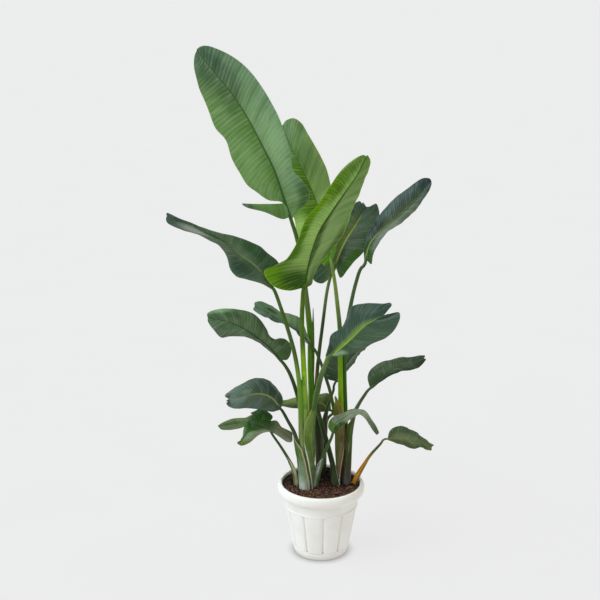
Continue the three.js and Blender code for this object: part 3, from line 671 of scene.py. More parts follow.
# %% Half a blade
def half_blade(leaf, rib_points, tangents, edge_points, side, t, rib_radius):
    """One half: its points, how far each lies from the midrib, and its share of the way out."""
    reach = edge_points - rib_points
    for notch_side, place, depth, half_width in leaf.get("notches", ()):
        if notch_side == side:
            closeness = np.clip(1 - np.abs(t - place) / half_width, 0, 1)
            reach = reach * (1 - depth * closeness ** 0.7)[:, None]
    width = np.linalg.norm(reach, axis=1)
    facing = unit(np.cross(reach, tangents)) * side
    rib_share = np.clip(rib_radius / np.maximum(width, 1e-6), 0.01, 0.42)
    inner = rib_share[:, None] * np.array(RIB_COLUMNS)
    outer_from = inner[:, -1:]
    outer = outer_from + (1 - outer_from) * np.linspace(0, 1, OUTER_COLUMNS + 1)[None, 1:]
    shares = np.hstack([inner, outer])
    upper = 1 if leaf["shows"] == "upper" else -1
    swell = np.sqrt(np.clip(np.sin(math.pi * t), 0, 1))
    lift = upper * leaf["crown"] * np.sin(math.pi * shares) * swell[:, None]
    for height, count, phase in leaf["waves"][0 if side < 0 else 1]:
        wave = np.sin(2 * math.pi * (count * t + phase)) * swell
        lift = lift + height * shares ** 2.2 * wave[:, None]
    lean = leaf["lean"][0 if side < 0 else 1]
    run = (t[:, None] - lean * shares) * leaf["length"] / leaf["pitch"]
    pleat = np.clip(shares * 3, 0, 1) * (1 - shares ** 4) * np.sin(2 * math.pi * run)
    lift = lift + PLEAT_HEIGHT * leaf.get("pleats", 1.0) * pleat * swell[:, None]
    points = rib_points[:, None] + reach[:, None] * shares[..., None] + facing[:, None] * lift[..., None]
    return points, shares * width[:, None], shares


print("a half blade has", len(RIB_COLUMNS) + OUTER_COLUMNS, "columns")

# %% [markdown]
# A flat grid is added and given a skin on both sides with Solidify while it is still flat. Then every
# point moves to its place: where it lies on the grid says where it goes on the blade.

# %% Skin of a blade
def skinned_grid(name, front, back, shares, marks):
    """Solidifies a flat grid, then moves each of its points to its place on the front or back skin."""
    rows, columns = front.shape[:2]
    bpy.ops.object.select_all(action="DESELECT")
    bpy.ops.mesh.primitive_grid_add(x_subdivisions=columns - 1, y_subdivisions=rows - 1, size=2)
    piece = bpy.context.object
    piece.name = piece.data.name = name
    skin = piece.modifiers.new("skin", "SOLIDIFY")
    skin.thickness = FLAT_SKIN
    skin.offset = 0
    bpy.ops.object.modifier_apply(modifier=skin.name)
    count = len(piece.data.vertices)
    flat = np.empty(count * 3)
    piece.data.vertices.foreach_get("co", flat)
    flat = flat.reshape(-1, 3)
    column = np.rint((flat[:, 0] + 1) / 2 * (columns - 1)).astype(int)
    row = np.rint((flat[:, 1] + 1) / 2 * (rows - 1)).astype(int)
    is_front = flat[:, 2] > 0
    placed = np.where(is_front[:, None], front[row, column], back[row, column])
    piece.data.vertices.foreach_set("co", placed.ravel())
    for mark, values in marks.items():
        spread = values[row, column] if values is not None else is_front.astype(float)
        attribute = piece.data.attributes.new(mark, "FLOAT", "POINT")
        attribute.data.foreach_set("value", spread.astype(np.float32))
    corners = np.empty(len(piece.data.loops), dtype=np.int32)
    piece.data.loops.foreach_get("vertex_index", corners)
    across = shares[row, column][corners]
    up = row[corners] / (rows - 1)
    piece.data.uv_layers[0].name = "blade"
    piece.data.uv_layers[0].data.foreach_set("uv", np.column_stack([across, up]).ravel())
    piece.data.update()
    bpy.ops.object.shade_smooth_by_angle(angle=math.radians(BLADE_SMOOTH_ANGLE))
    return piece


def surface_facing(grid):
    across = np.gradient(grid, axis=1)
    up = np.gradient(grid, axis=0)
    return unit(np.cross(across, up))


print("ready: skinned_grid, surface_facing")

# %% [markdown]
# Wind tears these leaves along a vein. The strip that hangs loose is a small blade of its own, joined
# to the rest.

# %% Torn strip
STRIP_ROWS = 40
STRIP_COLUMNS = 14
STRIP_HALF_THICKNESS = 0.0005


def add_torn_strip(piece, leaf):
    """A strip of the blade that has torn off from the rest and hangs from the rib alone."""
    rows, columns = STRIP_ROWS, STRIP_COLUMNS
    t = np.linspace(0, 0.985, rows)
    top = along(curve_through(leaf["strip_top"]), t)
    bottom = along(curve_through(leaf["strip_bottom"]), t)
    share = np.linspace(0, 0.98, columns)
    grid = bottom[:, None] + (top - bottom)[:, None] * share[None, :, None]
    facing = surface_facing(grid)
    bulge = 0.004 * np.sin(math.pi * share)[None, :] + 0.0012 * np.sin(9 * t)[:, None]
    grid = grid + facing * bulge[..., None]
    front, back = grid + facing * STRIP_HALF_THICKNESS, grid - facing * STRIP_HALF_THICKNESS
    across = np.repeat((0.5 - 0.46 * t)[:, None], columns, axis=1)
    strip = skinned_grid("strip", front, back, across, {"front": None, "rib": np.zeros((rows, columns))})
    bpy.ops.object.select_all(action="DESELECT")
    strip.select_set(True)
    piece.select_set(True)
    bpy.context.view_layer.objects.active = piece
    bpy.ops.object.join()


print("a torn strip has", STRIP_ROWS, "rows")

# %% [markdown]
# The two halves meet at the midrib. On the underside it stands out, half round, and on the upper side
# it is a shallow channel.

# %% Whole blade
def make_blade(name, leaf):
    """A whole blade, with its midrib and, where it has one, its torn strip."""
    rib_curve = curve_through(leaf["rib"])
    left_curve, right_curve = blade_edges(leaf["rib"], leaf["left"], leaf["right"])
    leaf["length"] = length_of(rib_curve)
    rows = int(ROWS_A_PLEAT * leaf["length"] / leaf["pitch"]) + 1
    t = np.linspace(0, 1, rows)
    ahead = t + VEIN_LEAD * t * (1 - t)
    rib_points = along(rib_curve, t)
    tangents = unit(np.gradient(rib_points, axis=0))
    rib_size = leaf.get("rib_size", 0.6)
    taper = (1 - t) ** 1.5 * (rib_size + (1 - rib_size) * np.exp(-t / 0.04))
    rib_radius = RIB_TIP_RADIUS + (leaf["radii"][-1] - RIB_TIP_RADIUS) * taper
    left, left_away, left_shares = half_blade(
        leaf, rib_points, tangents, along(left_curve, ahead), -1, t, rib_radius)
    right, right_away, right_shares = half_blade(
        leaf, rib_points, tangents, along(right_curve, ahead), 1, t, rib_radius)
    zero = np.zeros((rows, 1))
    grid = np.hstack([left[:, ::-1], rib_points[:, None], right])
    away = np.hstack([left_away[:, ::-1], zero, right_away]) / rib_radius[:, None]
    shares = np.hstack([-left_shares[:, ::-1], zero, right_shares])
    ridge = rib_radius[:, None] * np.sqrt(np.clip(1 - away ** 2, 0, 1))
    channel = CHANNEL_DEPTH * rib_radius[:, None] * np.exp(-(away / 0.7) ** 2)
    half_thickness = BLADE_HALF_THICKNESS - EDGE_THINNING * np.abs(shares)
    under, upper = half_thickness + ridge, half_thickness - channel
    to_front, to_back = (upper, under) if leaf["shows"] == "upper" else (under, upper)
    facing = surface_facing(grid)
    front = grid + facing * to_front[..., None]
    back = grid - facing * to_back[..., None]
    marks = {"front": None, "rib": np.clip(1.7 - 1.2 * away, 0, 1)}
    piece = skinned_grid(name, front, back, 0.5 + 0.5 * shares, marks)
    if "strip_top" in leaf:
        add_torn_strip(piece, leaf)
    return piece


print("a blade has", 2 * (len(RIB_COLUMNS) + OUTER_COLUMNS) + 1, "columns")

# %% [markdown]
# ## How a leaf is coloured
#
# A blade's colour is not one green. A painted picture could hold its tones, but would blur close up. So
# the blade's own UV map gives a place across (0 and 1 are the edges) and along (1 is the tip), and every
# tone is mixed from it. Oval patches of colour carry glints and shade that belong to one place.

# %% Colour patches
SOFT = 0.75
CRISP = 0.12


def add_patch(tree, on_blade, before, patch):
    """Lays an oval of colour on the blade: its middle, half sizes, colour, strength and softness."""
    across, up, half_across, half_up, tone, strength, softness = patch
    middle, half_size = (across, up, 0), (half_across, half_up, 1)
    moved = add_node(tree, "VectorMath", {0: on_blade, 1: middle}, operation="SUBTRACT")
    scaled = add_node(tree, "VectorMath", {0: moved.outputs[0], 1: half_size}, operation="DIVIDE")
    length = add_node(tree, "VectorMath", {0: scaled.outputs[0]}, operation="LENGTH")
    away = length.outputs["Value"]
    return mix(tree, fade(tree, away, 1.0, 1.0 - softness, 0.0, strength), before, colour(*tone))


print("a soft patch fades over", SOFT, "of its size, a crisp one over", CRISP)

# %% [markdown]
# The veins are a cloud pattern stretched from midrib to edge, and a wave that keeps step with the
# pleats of the mesh.

# %% Vein pattern
def vein_pattern(tree, across, up, out, is_right, pleats, lean):
    """Irregular streaks, fine streaks and regular lines, all leaning to the tip as the real veins do."""
    lean_here = fade(tree, is_right, 0.0, 1.0, lean[0], lean[1])
    rooted = calculate(tree, "SUBTRACT", up, calculate(tree, "MULTIPLY", lean_here, out))
    run = calculate(tree, "MULTIPLY", rooted, pleats)
    half = calculate(tree, "MULTIPLY", is_right, 7.0)
    slow = calculate(tree, "MULTIPLY", across, 2.2)
    place = add_node(tree, "CombineXYZ", {"X": slow, "Y": run, "Z": half}).outputs[0]
    streaks = speckle(tree, place, 0.75, 4.0, 0.62)
    fine = speckle(tree, place, 3.4, 2.0, 0.6)
    turn = calculate(tree, "MULTIPLY", calculate(tree, "MULTIPLY_ADD", streaks, 0.5, run), 2 * math.pi)
    lines = calculate(tree, "SINE", turn)
    return streaks, fine, lines


print("ready: vein_pattern")

# %% [markdown]
# Each half has its own tone near the midrib and near the edge, the foot and the tip differ, and the
# margin is a thin pale line. The tones of the halves, foot and tip are partly the leaf's own green and
# partly painted light and shade, and the pale lines on the pleat crests are partly a painted highlight.
# Two marks say which skin a point is on and how near the midrib it is. The vein pattern also lifts the
# surface as a bump, so lines and light agree.

# %% Leaf finish
def leaf_finish(name, pleats, lean, left, right, rib, foot, tip, margin, hidden, veins=0.5, shine=0.2,
                vein=(176, 198, 160), patches=(), reach=((0.05, 0.9), (0.05, 0.9)), gloss=0.4):
    """left and right: tones near the midrib and near the edge. reach: where they change."""
    made, tree, shader = new_finish(name)
    place = add_node(tree, "TexCoord", {}).outputs["Object"]
    on_blade = add_node(tree, "UVMap", {}, uv_map="blade").outputs["UV"]
    parts = add_node(tree, "SeparateXYZ", {"Vector": on_blade})
    across, up = parts.outputs["X"], parts.outputs["Y"]
    out = calculate(tree, "ABSOLUTE", calculate(tree, "MULTIPLY_ADD", across, 2.0, -1.0))
    is_right = calculate(tree, "GREATER_THAN", across, 0.5)
    front = add_node(tree, "Attribute", {}, attribute_name="front").outputs["Fac"]
    near_rib = add_node(tree, "Attribute", {}, attribute_name="rib").outputs["Fac"]
    streaks, fine, lines = vein_pattern(tree, across, up, out, is_right, pleats, lean)
    cloud = speckle(tree, place, 9.0, 3.0)

    # The tones of the halves, foot and tip are partly the leaf's own green and partly painted light and
    # shade.
    left_tone = mix(tree, fade(tree, out, *reach[0]), colour(*left[0]), colour(*left[1]))
    right_tone = mix(tree, fade(tree, out, *reach[1]), colour(*right[0]), colour(*right[1]))
    tone = mix(tree, is_right, left_tone, right_tone)
    tone = mix(tree, fade(tree, up, 0.2, 0.0, 0.0, 0.85), tone, colour(*foot))
    tone = mix(tree, fade(tree, up, 0.6, 0.95, 0.0, 0.85), tone, colour(*tip))
    # The patches paint glints and shade, and some tones of the leaf's own.
    for patch in patches:
        tone = add_patch(tree, on_blade, tone, patch)
    deep = mix(tree, 1.0, tone, (0.5, 0.56, 0.46, 1.0), "MULTIPLY")
    pale = mix(tree, 0.3, tone, colour(*vein))
    tone = mix(tree, fade(tree, cloud, 0.4, 0.7, 0.0, 0.3), tone, deep)
    tone = mix(tree, fade(tree, streaks, 0.5, 0.3, 0.0, 0.8 * veins), tone, deep)
    tone = mix(tree, fade(tree, streaks, 0.5, 0.72, 0.0, 1.3 * veins), tone, pale)
    # Thin pale lines that keep step with the pleats, partly vein colour and partly a painted highlight.
    coming = fade(tree, streaks, 0.38, 0.6, 0.25, 1.0)
    crest = calculate(tree, "MULTIPLY", fade(tree, lines, 0.55, 1.0, 0.0, 1.1 * veins), coming)
    tone = mix(tree, crest, tone, pale)
    # Dark lines between them: painted shade in the troughs of the pleats.
    tone = mix(tree, fade(tree, lines, -0.5, -1.0, 0.0, 0.35 * veins), tone, deep)
    tone = mix(tree, fade(tree, fine, 0.5, 0.3, 0.0, 0.4 * veins), tone, deep)
    tone = mix(tree, fade(tree, out, 0.975, 0.998, 0.0, 0.7), tone, colour(*margin))
    tone = mix(tree, near_rib, tone, colour(*rib))

    under = mix(tree, fade(tree, streaks, 0.4, 0.7, 0.0, 0.5), colour(*hidden),
                mix(tree, 0.3, colour(*hidden), colour(*vein)))
    under = mix(tree, near_rib, under, mix(tree, 0.5, colour(*hidden), colour(*rib)))
    tree.links.new(mix(tree, front, under, tone), shader.inputs["Base Color"])
    shader.inputs["Specular IOR Level"].default_value = shine
    tree.links.new(fade(tree, fine, 0.3, 0.7, gloss - 0.05, gloss + 0.08), shader.inputs["Roughness"])
    relief = calculate(tree, "ADD", calculate(tree, "MULTIPLY", lines, 0.18), streaks)
    set_bump(tree, shader, relief, 0.4, 0.0015)
    return made


print("ready: leaf_finish")

# %% [markdown]
# No two leaves wave alike. The waves of an edge are drawn by chance, always the same for one name.

# %% Grow a blade
def random_waves(name, amount):
    """Three waves for each half of a blade, always the same ones for a name: height, count and phase."""
    chance = random.Random(name)
    halves = []
    for _ in range(2):
        halves.append([
            (amount * 0.0028, chance.uniform(1.6, 2.6), chance.random()),
            (amount * 0.0014, chance.uniform(3.8, 5.5), chance.random()),
            (amount * 0.0006, chance.uniform(8.5, 12.0), chance.random()),
        ])
    return halves


def grow_blade(name, slot_name, leaf, finish, wave=1.0):
    """Makes a blade, dresses it and lets it stand for the CAD node of the same name."""
    leaf["waves"] = random_waves(name, wave)
    leaf.setdefault("lean", (0.03, 0.03))
    leaf.setdefault("pitch", PLEAT_PITCH)
    piece = make_blade(f"{name}_blade_skin", leaf)
    material = leaf_finish(f"{name}_finish", leaf["length"] / leaf["pitch"], leaf["lean"], **finish)
    finish_piece(piece, material, slot_name, f"{name}_blade")
    grow_stalk(name, leaf)


print("ready: random_waves, grow_blade")

# %% [markdown]
# ## How a stalk is made
#
# A leaf stalk is nearly round, thick and clasping at its foot and slender under the blade. It could be a
# curve with a bevel, but then its skin would carry no measured place for streaks. So it is built round
# its line, and at each point of the line two directions square to it say where round is.

# %% Stalk line
STALK_SIDES = 20
STALK_ROW = 0.008
STALK_END_STRAIGHT = 0.012
UNDER_BLADE = 0.016
SEAM_MERGE = 0.00003
STALK_SMOOTH_ANGLE = 50


def steady_frames(centres):
    """Two directions square to the line at each point, without twist, the first towards the front."""
    tangents = unit(np.gradient(centres, axis=0))
    ahead = np.array([0.0, -1.0, 0.0])
    firsts = []
    for tangent in tangents:
        ahead = ahead - tangent * ahead.dot(tangent)
        ahead = ahead / np.linalg.norm(ahead)
        firsts.append(ahead)
    firsts = np.array(firsts)
    return firsts, np.cross(tangents, firsts)


def stalk_line(points, radii, row=STALK_ROW):
    """Evenly spaced centres and radii along a stalk."""
    curve = curve_through(points)
    steps = np.linalg.norm(np.diff(curve, axis=0), axis=1)
    lengths = np.concatenate([[0], np.cumsum(steps)])
    thickness = np.interp(np.linspace(0, 1, len(curve)), np.linspace(0, 1, len(radii)), radii)
    rows = max(int(lengths[-1] / row), 6)
    shares = np.linspace(0, 1, rows)
    return along(curve, shares), np.interp(shares * lengths[-1], lengths, thickness)


print("a stalk has a row every", STALK_ROW, "m")

# %% [markdown]
# A stalk starts as a flat grid, which is rolled up round the stalk's line and merged along its seam. A
# real one is flat on its inner side, with a soft crease on each flank.

# %% Roll up a grid
def channelled(round_share):
    """A stalk is flat on its inner side and has a soft crease on each flank."""
    crease = np.exp(-((round_share - 0.3) / 0.035) ** 2) + np.exp(-((round_share - 0.68) / 0.03) ** 2)
    return 1 - 0.07 * crease - 0.03 * np.cos(4 * math.pi * round_share)


def rolled_grid(name, centres, radii):
    """Rolls a flat grid up round a line, with the creases of a stalk."""
    rows = len(centres)
    first, second = steady_frames(centres)
    bpy.ops.object.select_all(action="DESELECT")
    bpy.ops.mesh.primitive_grid_add(x_subdivisions=STALK_SIDES, y_subdivisions=rows - 1, size=2)
    piece = bpy.context.object
    piece.name = piece.data.name = name
    flat = np.array([vertex.co for vertex in piece.data.vertices])
    round_share = (flat[:, 0] + 1) / 2
    row = np.rint((flat[:, 1] + 1) / 2 * (rows - 1)).astype(int)
    turn = 2 * math.pi * round_share + math.pi
    radius = radii[row] * channelled(round_share)
    placed = (centres[row] + first[row] * (radius * np.cos(turn))[:, None]
              + second[row] * (radius * np.sin(turn))[:, None])
    piece.data.vertices.foreach_set("co", placed.ravel())
    piece.data.uv_layers[0].name = "stalk"
    bpy.ops.object.mode_set(mode="EDIT")
    bpy.ops.mesh.select_all(action="SELECT")
    bpy.ops.mesh.remove_doubles(threshold=SEAM_MERGE)
    bpy.ops.mesh.select_all(action="DESELECT")
    bpy.ops.mesh.select_non_manifold()
    bpy.ops.mesh.edge_face_add()
    bpy.ops.mesh.select_all(action="SELECT")
    bpy.ops.mesh.normals_make_consistent(inside=False)
    bpy.ops.object.mode_set(mode="OBJECT")
    bpy.ops.object.shade_smooth_by_angle(angle=math.radians(STALK_SMOOTH_ANGLE))
    return piece


print("a stalk has", STALK_SIDES, "sides")

# %% [markdown]
# A stalk is pale or brown at the soil and greener higher up, with long streaks. Its tones by height are
# partly its own colour and partly painted light and shade.

# %% Stalk finish
def stalk_finish(name, tones, changes, stripe=(150, 168, 104, 0.4), stripe_at=0.34):
    """Four tones from the soil up, which change at three heights, with streaks and one thin stripe."""
    made, tree, shader = new_finish(name)
    place = add_node(tree, "TexCoord", {}).outputs["Object"]
    height = add_node(tree, "SeparateXYZ", {"Vector": place}).outputs["Z"]
    on_stalk = add_node(tree, "UVMap", {}, uv_map="stalk").outputs["UV"]
    parts = add_node(tree, "SeparateXYZ", {"Vector": on_stalk})
    turned = calculate(tree, "MULTIPLY", parts.outputs["X"], 9.0)
    raised = calculate(tree, "MULTIPLY", height, 7.0)
    streak_place = add_node(tree, "CombineXYZ", {"X": turned, "Y": raised})
    streaks = speckle(tree, streak_place.outputs[0], 1.6, 3.0, 0.6)
    cloud = speckle(tree, place, 24.0, 3.0)
    # Tones by height: the stalk's own colour, partly painted light and shade.
    tone = colour(*tones[0])
    for change, next_tone in zip(changes, tones[1:]):
        tone = mix(tree, fade(tree, height, change - 0.04, change + 0.04), tone, colour(*next_tone))
    pale = mix(tree, 0.3, tone, colour(170, 190, 110))
    streaked = mix(tree, fade(tree, streaks, 0.45, 0.72, 0.0, 0.6), tone, pale)
    dull = mix(tree, 0.5, streaked, (0.01, 0.02, 0.005, 1.0))
    clouded = mix(tree, fade(tree, cloud, 0.4, 0.7, 0.0, 0.45), streaked, dull)
    off_stripe = calculate(tree, "ABSOLUTE", calculate(tree, "SUBTRACT", parts.outputs["X"], stripe_at))
    striped = mix(tree, fade(tree, off_stripe, 0.028, 0.01, 0.0, stripe[3]), clouded, colour(*stripe[:3]))
    tree.links.new(striped, shader.inputs["Base Color"])
    shader.inputs["Specular IOR Level"].default_value = 0.12
    tree.links.new(fade(tree, streaks, 0.3, 0.7, 0.36, 0.5), shader.inputs["Roughness"])
    set_bump(tree, shader, streaks, 0.3, 0.001)
    return made


print("ready: stalk_finish")

# %% [markdown]
# The far end of a stalk slips under its blade and thins out there, where it becomes the midrib.

# %% Grow a stalk
def grow_stalk(name, leaf):
    """The stalk from the soil to the blade, where it slips under the midrib and thins out."""
    foot = np.array(leaf["rib"][0], float)
    direction = unit(np.array(leaf["rib"][1], float) - foot)
    straight = foot - direction * STALK_END_STRAIGHT
    centres, radii = stalk_line([*leaf["stalk"], straight, foot], leaf["radii"])
    rib_curve = curve_through(leaf["rib"])
    shares = np.linspace(0, 1, 5)[1:]
    under = along(rib_curve, shares * UNDER_BLADE / length_of(rib_curve))
    edges = np.array(leaf["right"][0], float) - np.array(leaf["left"][0], float)
    front = unit(np.cross(edges, direction))
    away = -front if leaf["shows"] == "upper" else front
    under = under + away * (0.45 * leaf["radii"][-1] * shares)[:, None]
    centres = np.vstack([centres, under])
    radii = np.concatenate([radii, leaf["radii"][-1] * (1 - 0.55 * shares)])
    piece = rolled_grid(f"{name}_stalk_skin", centres, radii)
    material = stalk_finish(f"{name}_stalk_finish", **leaf["stalk_look"])
    slot_name = "brown_stalk" if leaf["stem"] == "back_shoot" else "green_stalk"
    finish_piece(piece, material, slot_name, leaf["stem"])


print("a stalk runs", UNDER_BLADE, "m under its blade")

# %% [markdown]
# ## The tall leaves
#
# The tallest leaf shows its underside: mid green, with pale streaks between its veins, a thick darker
# midrib, and one strip torn off at the base that hangs from the midrib. Behind it stands a second tall
# leaf, seen from its upper side, whose left half is lit through, painted in as a glowing yellow-green.
# Each leaf gives its curves, its stalk from the soil up with the stalk's radii, and its colours.

# %% Tall leaf
grow_blade("tall_leaf", "mid_leaf", dict(
    rib=[(-0.082, 0.026, 0.942), (-0.1, 0.012, 1.002), (-0.124, -0.012, 1.08), (-0.154, -0.034, 1.148),
         (-0.184, -0.056, 1.212), (-0.218, -0.084, 1.274), (-0.258, -0.116, 1.332),
         (-0.288, -0.142, 1.374), (-0.302, -0.154, 1.398)],
    left=[(-0.102, 0.014, 0.988), (-0.14, 0.008, 0.998), (-0.172, 0.004, 1.022), (-0.194, 0, 1.04),
          (-0.214, -0.008, 1.076), (-0.232, -0.02, 1.114), (-0.244, -0.032, 1.156),
          (-0.268, -0.046, 1.19), (-0.288, -0.068, 1.25), (-0.304, -0.094, 1.304),
          (-0.312, -0.126, 1.356), (-0.308, -0.142, 1.384), (-0.302, -0.152, 1.396)],
    right=[(-0.058, 0.032, 0.966), (-0.038, 0.036, 0.986), (-0.032, 0.034, 1.008), (-0.05, 0.028, 1.042),
           (-0.078, 0.02, 1.074), (-0.084, 0.01, 1.116), (-0.094, -0.002, 1.16), (-0.106, -0.016, 1.202),
           (-0.134, -0.04, 1.266), (-0.168, -0.072, 1.322), (-0.202, -0.1, 1.362), (-0.244, -0.13, 1.392),
           (-0.28, -0.148, 1.406), (-0.294, -0.153, 1.404)],
    stalk=[(-0.039, -0.016, 0.193), (-0.033, -0.01, 0.289), (-0.028, -0.004, 0.39), (-0.027, 0.002, 0.46),
           (-0.029, 0.006, 0.536), (-0.03, 0.01, 0.626), (-0.035, 0.012, 0.676), (-0.04, 0.014, 0.725),
           (-0.055, 0.02, 0.839), (-0.068, 0.024, 0.897)],
    strip_top=[(-0.096, 0.016, 0.988), (-0.154, -0.006, 0.99), (-0.208, -0.032, 0.998)],
    strip_bottom=[(-0.086, 0.024, 0.948), (-0.102, 0.02, 0.944), (-0.15, -0.004, 0.968),
                  (-0.196, -0.026, 0.986), (-0.208, -0.032, 0.996)],
    stem="left_shoot", shows="under", crown=0.006, pitch=0.0115, pleats=1.9,
    radii=(0.008, 0.008, 0.0085, 0.008, 0.006, 0.005, 0.0045), lean=(-0.1, 0.02),
    stalk_look=dict(
        tones=((100, 121, 84), (88, 112, 44), (66, 112, 0), (84, 112, 46)), changes=(0.33, 0.42, 0.68),
        stripe=(56, 36, 14, 0.85), stripe_at=0.68),
), dict(
    left=((94, 140, 58), (122, 166, 94)), right=((136, 180, 124), (134, 176, 130)), rib=(62, 102, 40),
    foot=(130, 172, 100), tip=(74, 108, 84), margin=(150, 190, 122), hidden=(52, 98, 46), veins=0.85,
    patches=[(0.66, 0.82, 0.24, 0.2, (56, 92, 68), 0.6, SOFT),
             (0.25, 0.84, 0.3, 0.14, (66, 102, 66), 0.5, SOFT),
             (0.5, 0.72, 0.22, 0.14, (78, 112, 66), 0.6, SOFT),
             (0.95, 0.1, 0.24, 0.1, (46, 92, 30), 0.8, SOFT),
             (0.06, 0.93, 0.14, 0.1, (118, 146, 128), 0.5, SOFT),
             (0.78, 0.36, 0.3, 0.2, (164, 210, 150), 0.7, SOFT),
             (0.2, 0.28, 0.28, 0.18, (134, 178, 104), 0.6, SOFT),
             (0.34, 0.66, 0.18, 0.16, (76, 112, 60), 0.5, SOFT)]), wave=1.2)

# %% Tall back leaf
grow_blade("tall_back_leaf", "light_leaf", dict(
    rib=[(0.024, 0.05, 0.822), (0.016, 0.066, 0.854), (0, 0.1, 0.916), (-0.012, 0.124, 0.96),
         (-0.04, 0.158, 1.024), (-0.071, 0.184, 1.082), (-0.096, 0.204, 1.134), (-0.104, 0.212, 1.158)],
    left=[(0.008, 0.054, 0.808), (-0.004, 0.064, 0.82), (-0.042, 0.084, 0.844), (-0.066, 0.102, 0.872),
          (-0.072, 0.124, 0.91), (-0.082, 0.15, 0.952), (-0.104, 0.182, 1.014), (-0.12, 0.206, 1.078),
          (-0.122, 0.216, 1.122), (-0.114, 0.216, 1.154)],
    right=[(0.038, 0.062, 0.854), (0.038, 0.09, 0.91), (0.03, 0.122, 0.972), (0.014, 0.154, 1.046),
           (-0.008, 0.172, 1.09), (-0.034, 0.19, 1.134), (-0.056, 0.206, 1.166), (-0.076, 0.214, 1.176),
           (-0.098, 0.214, 1.168)],
    stalk=[(0.066, 0.006, 0.195), (0.059, 0.009, 0.296), (0.054, 0.016, 0.411), (0.051, 0.023, 0.524),
           (0.049, 0.032, 0.635), (0.042, 0.038, 0.704), (0.034, 0.045, 0.769)],
    stem="right_shoot", shows="upper", crown=0.008, pitch=0.009,
    radii=(0.008, 0.0075, 0.0065, 0.0055, 0.0045, 0.004), lean=(0.02, 0.03),
    stalk_look=dict(
        tones=((112, 95, 74), (122, 168, 0), (70, 96, 44), (118, 144, 66)), changes=(0.35, 0.57, 0.68)),
), dict(
    # Painted light: the left half's bright yellow-green stands for light shining through.
    left=((70, 112, 0), (82, 128, 4)), right=((108, 140, 70), (116, 146, 82)), rib=(66, 100, 30),
    foot=(70, 124, 0), tip=(100, 136, 90), margin=(160, 188, 100), hidden=(100, 136, 72), veins=0.55,
    shine=0.12, vein=(184, 200, 130),
    patches=[(0.56, 0.7, 0.1, 0.18, (70, 104, 40), 0.6, SOFT),
             (0.74, 0.66, 0.26, 0.22, (72, 110, 56), 0.45, SOFT),
             (0.7, 0.28, 0.34, 0.16, (160, 196, 112), 0.75, SOFT),
             (0.08, 0.28, 0.32, 0.13, (146, 186, 96), 0.85, SOFT),
             (0.62, 0.93, 0.25, 0.07, (134, 160, 132), 0.5, SOFT),
             (0.22, 0.84, 0.28, 0.14, (156, 204, 142), 0.75, SOFT),
             (0.4, 0.52, 0.1, 0.14, (48, 88, 0), 0.75, SOFT),
             (0.95, 0.86, 0.14, 0.14, (84, 116, 62), 0.7, SOFT)]))

# %% [markdown]
# ## The middle of the crown
#
# The bright front leaf is the youngest full-grown one: yellow-green, with a dark midrib and a tip that
# rolls over. To its right stand a slate-coloured leaf with a pale midrib and a tattered tip, and a dark
# glossy one that is folded along its midrib. The long left leaf narrows to a band at its end, where
# a roll is painted on: a pale strip of underside beside a dark strip of painted shade.

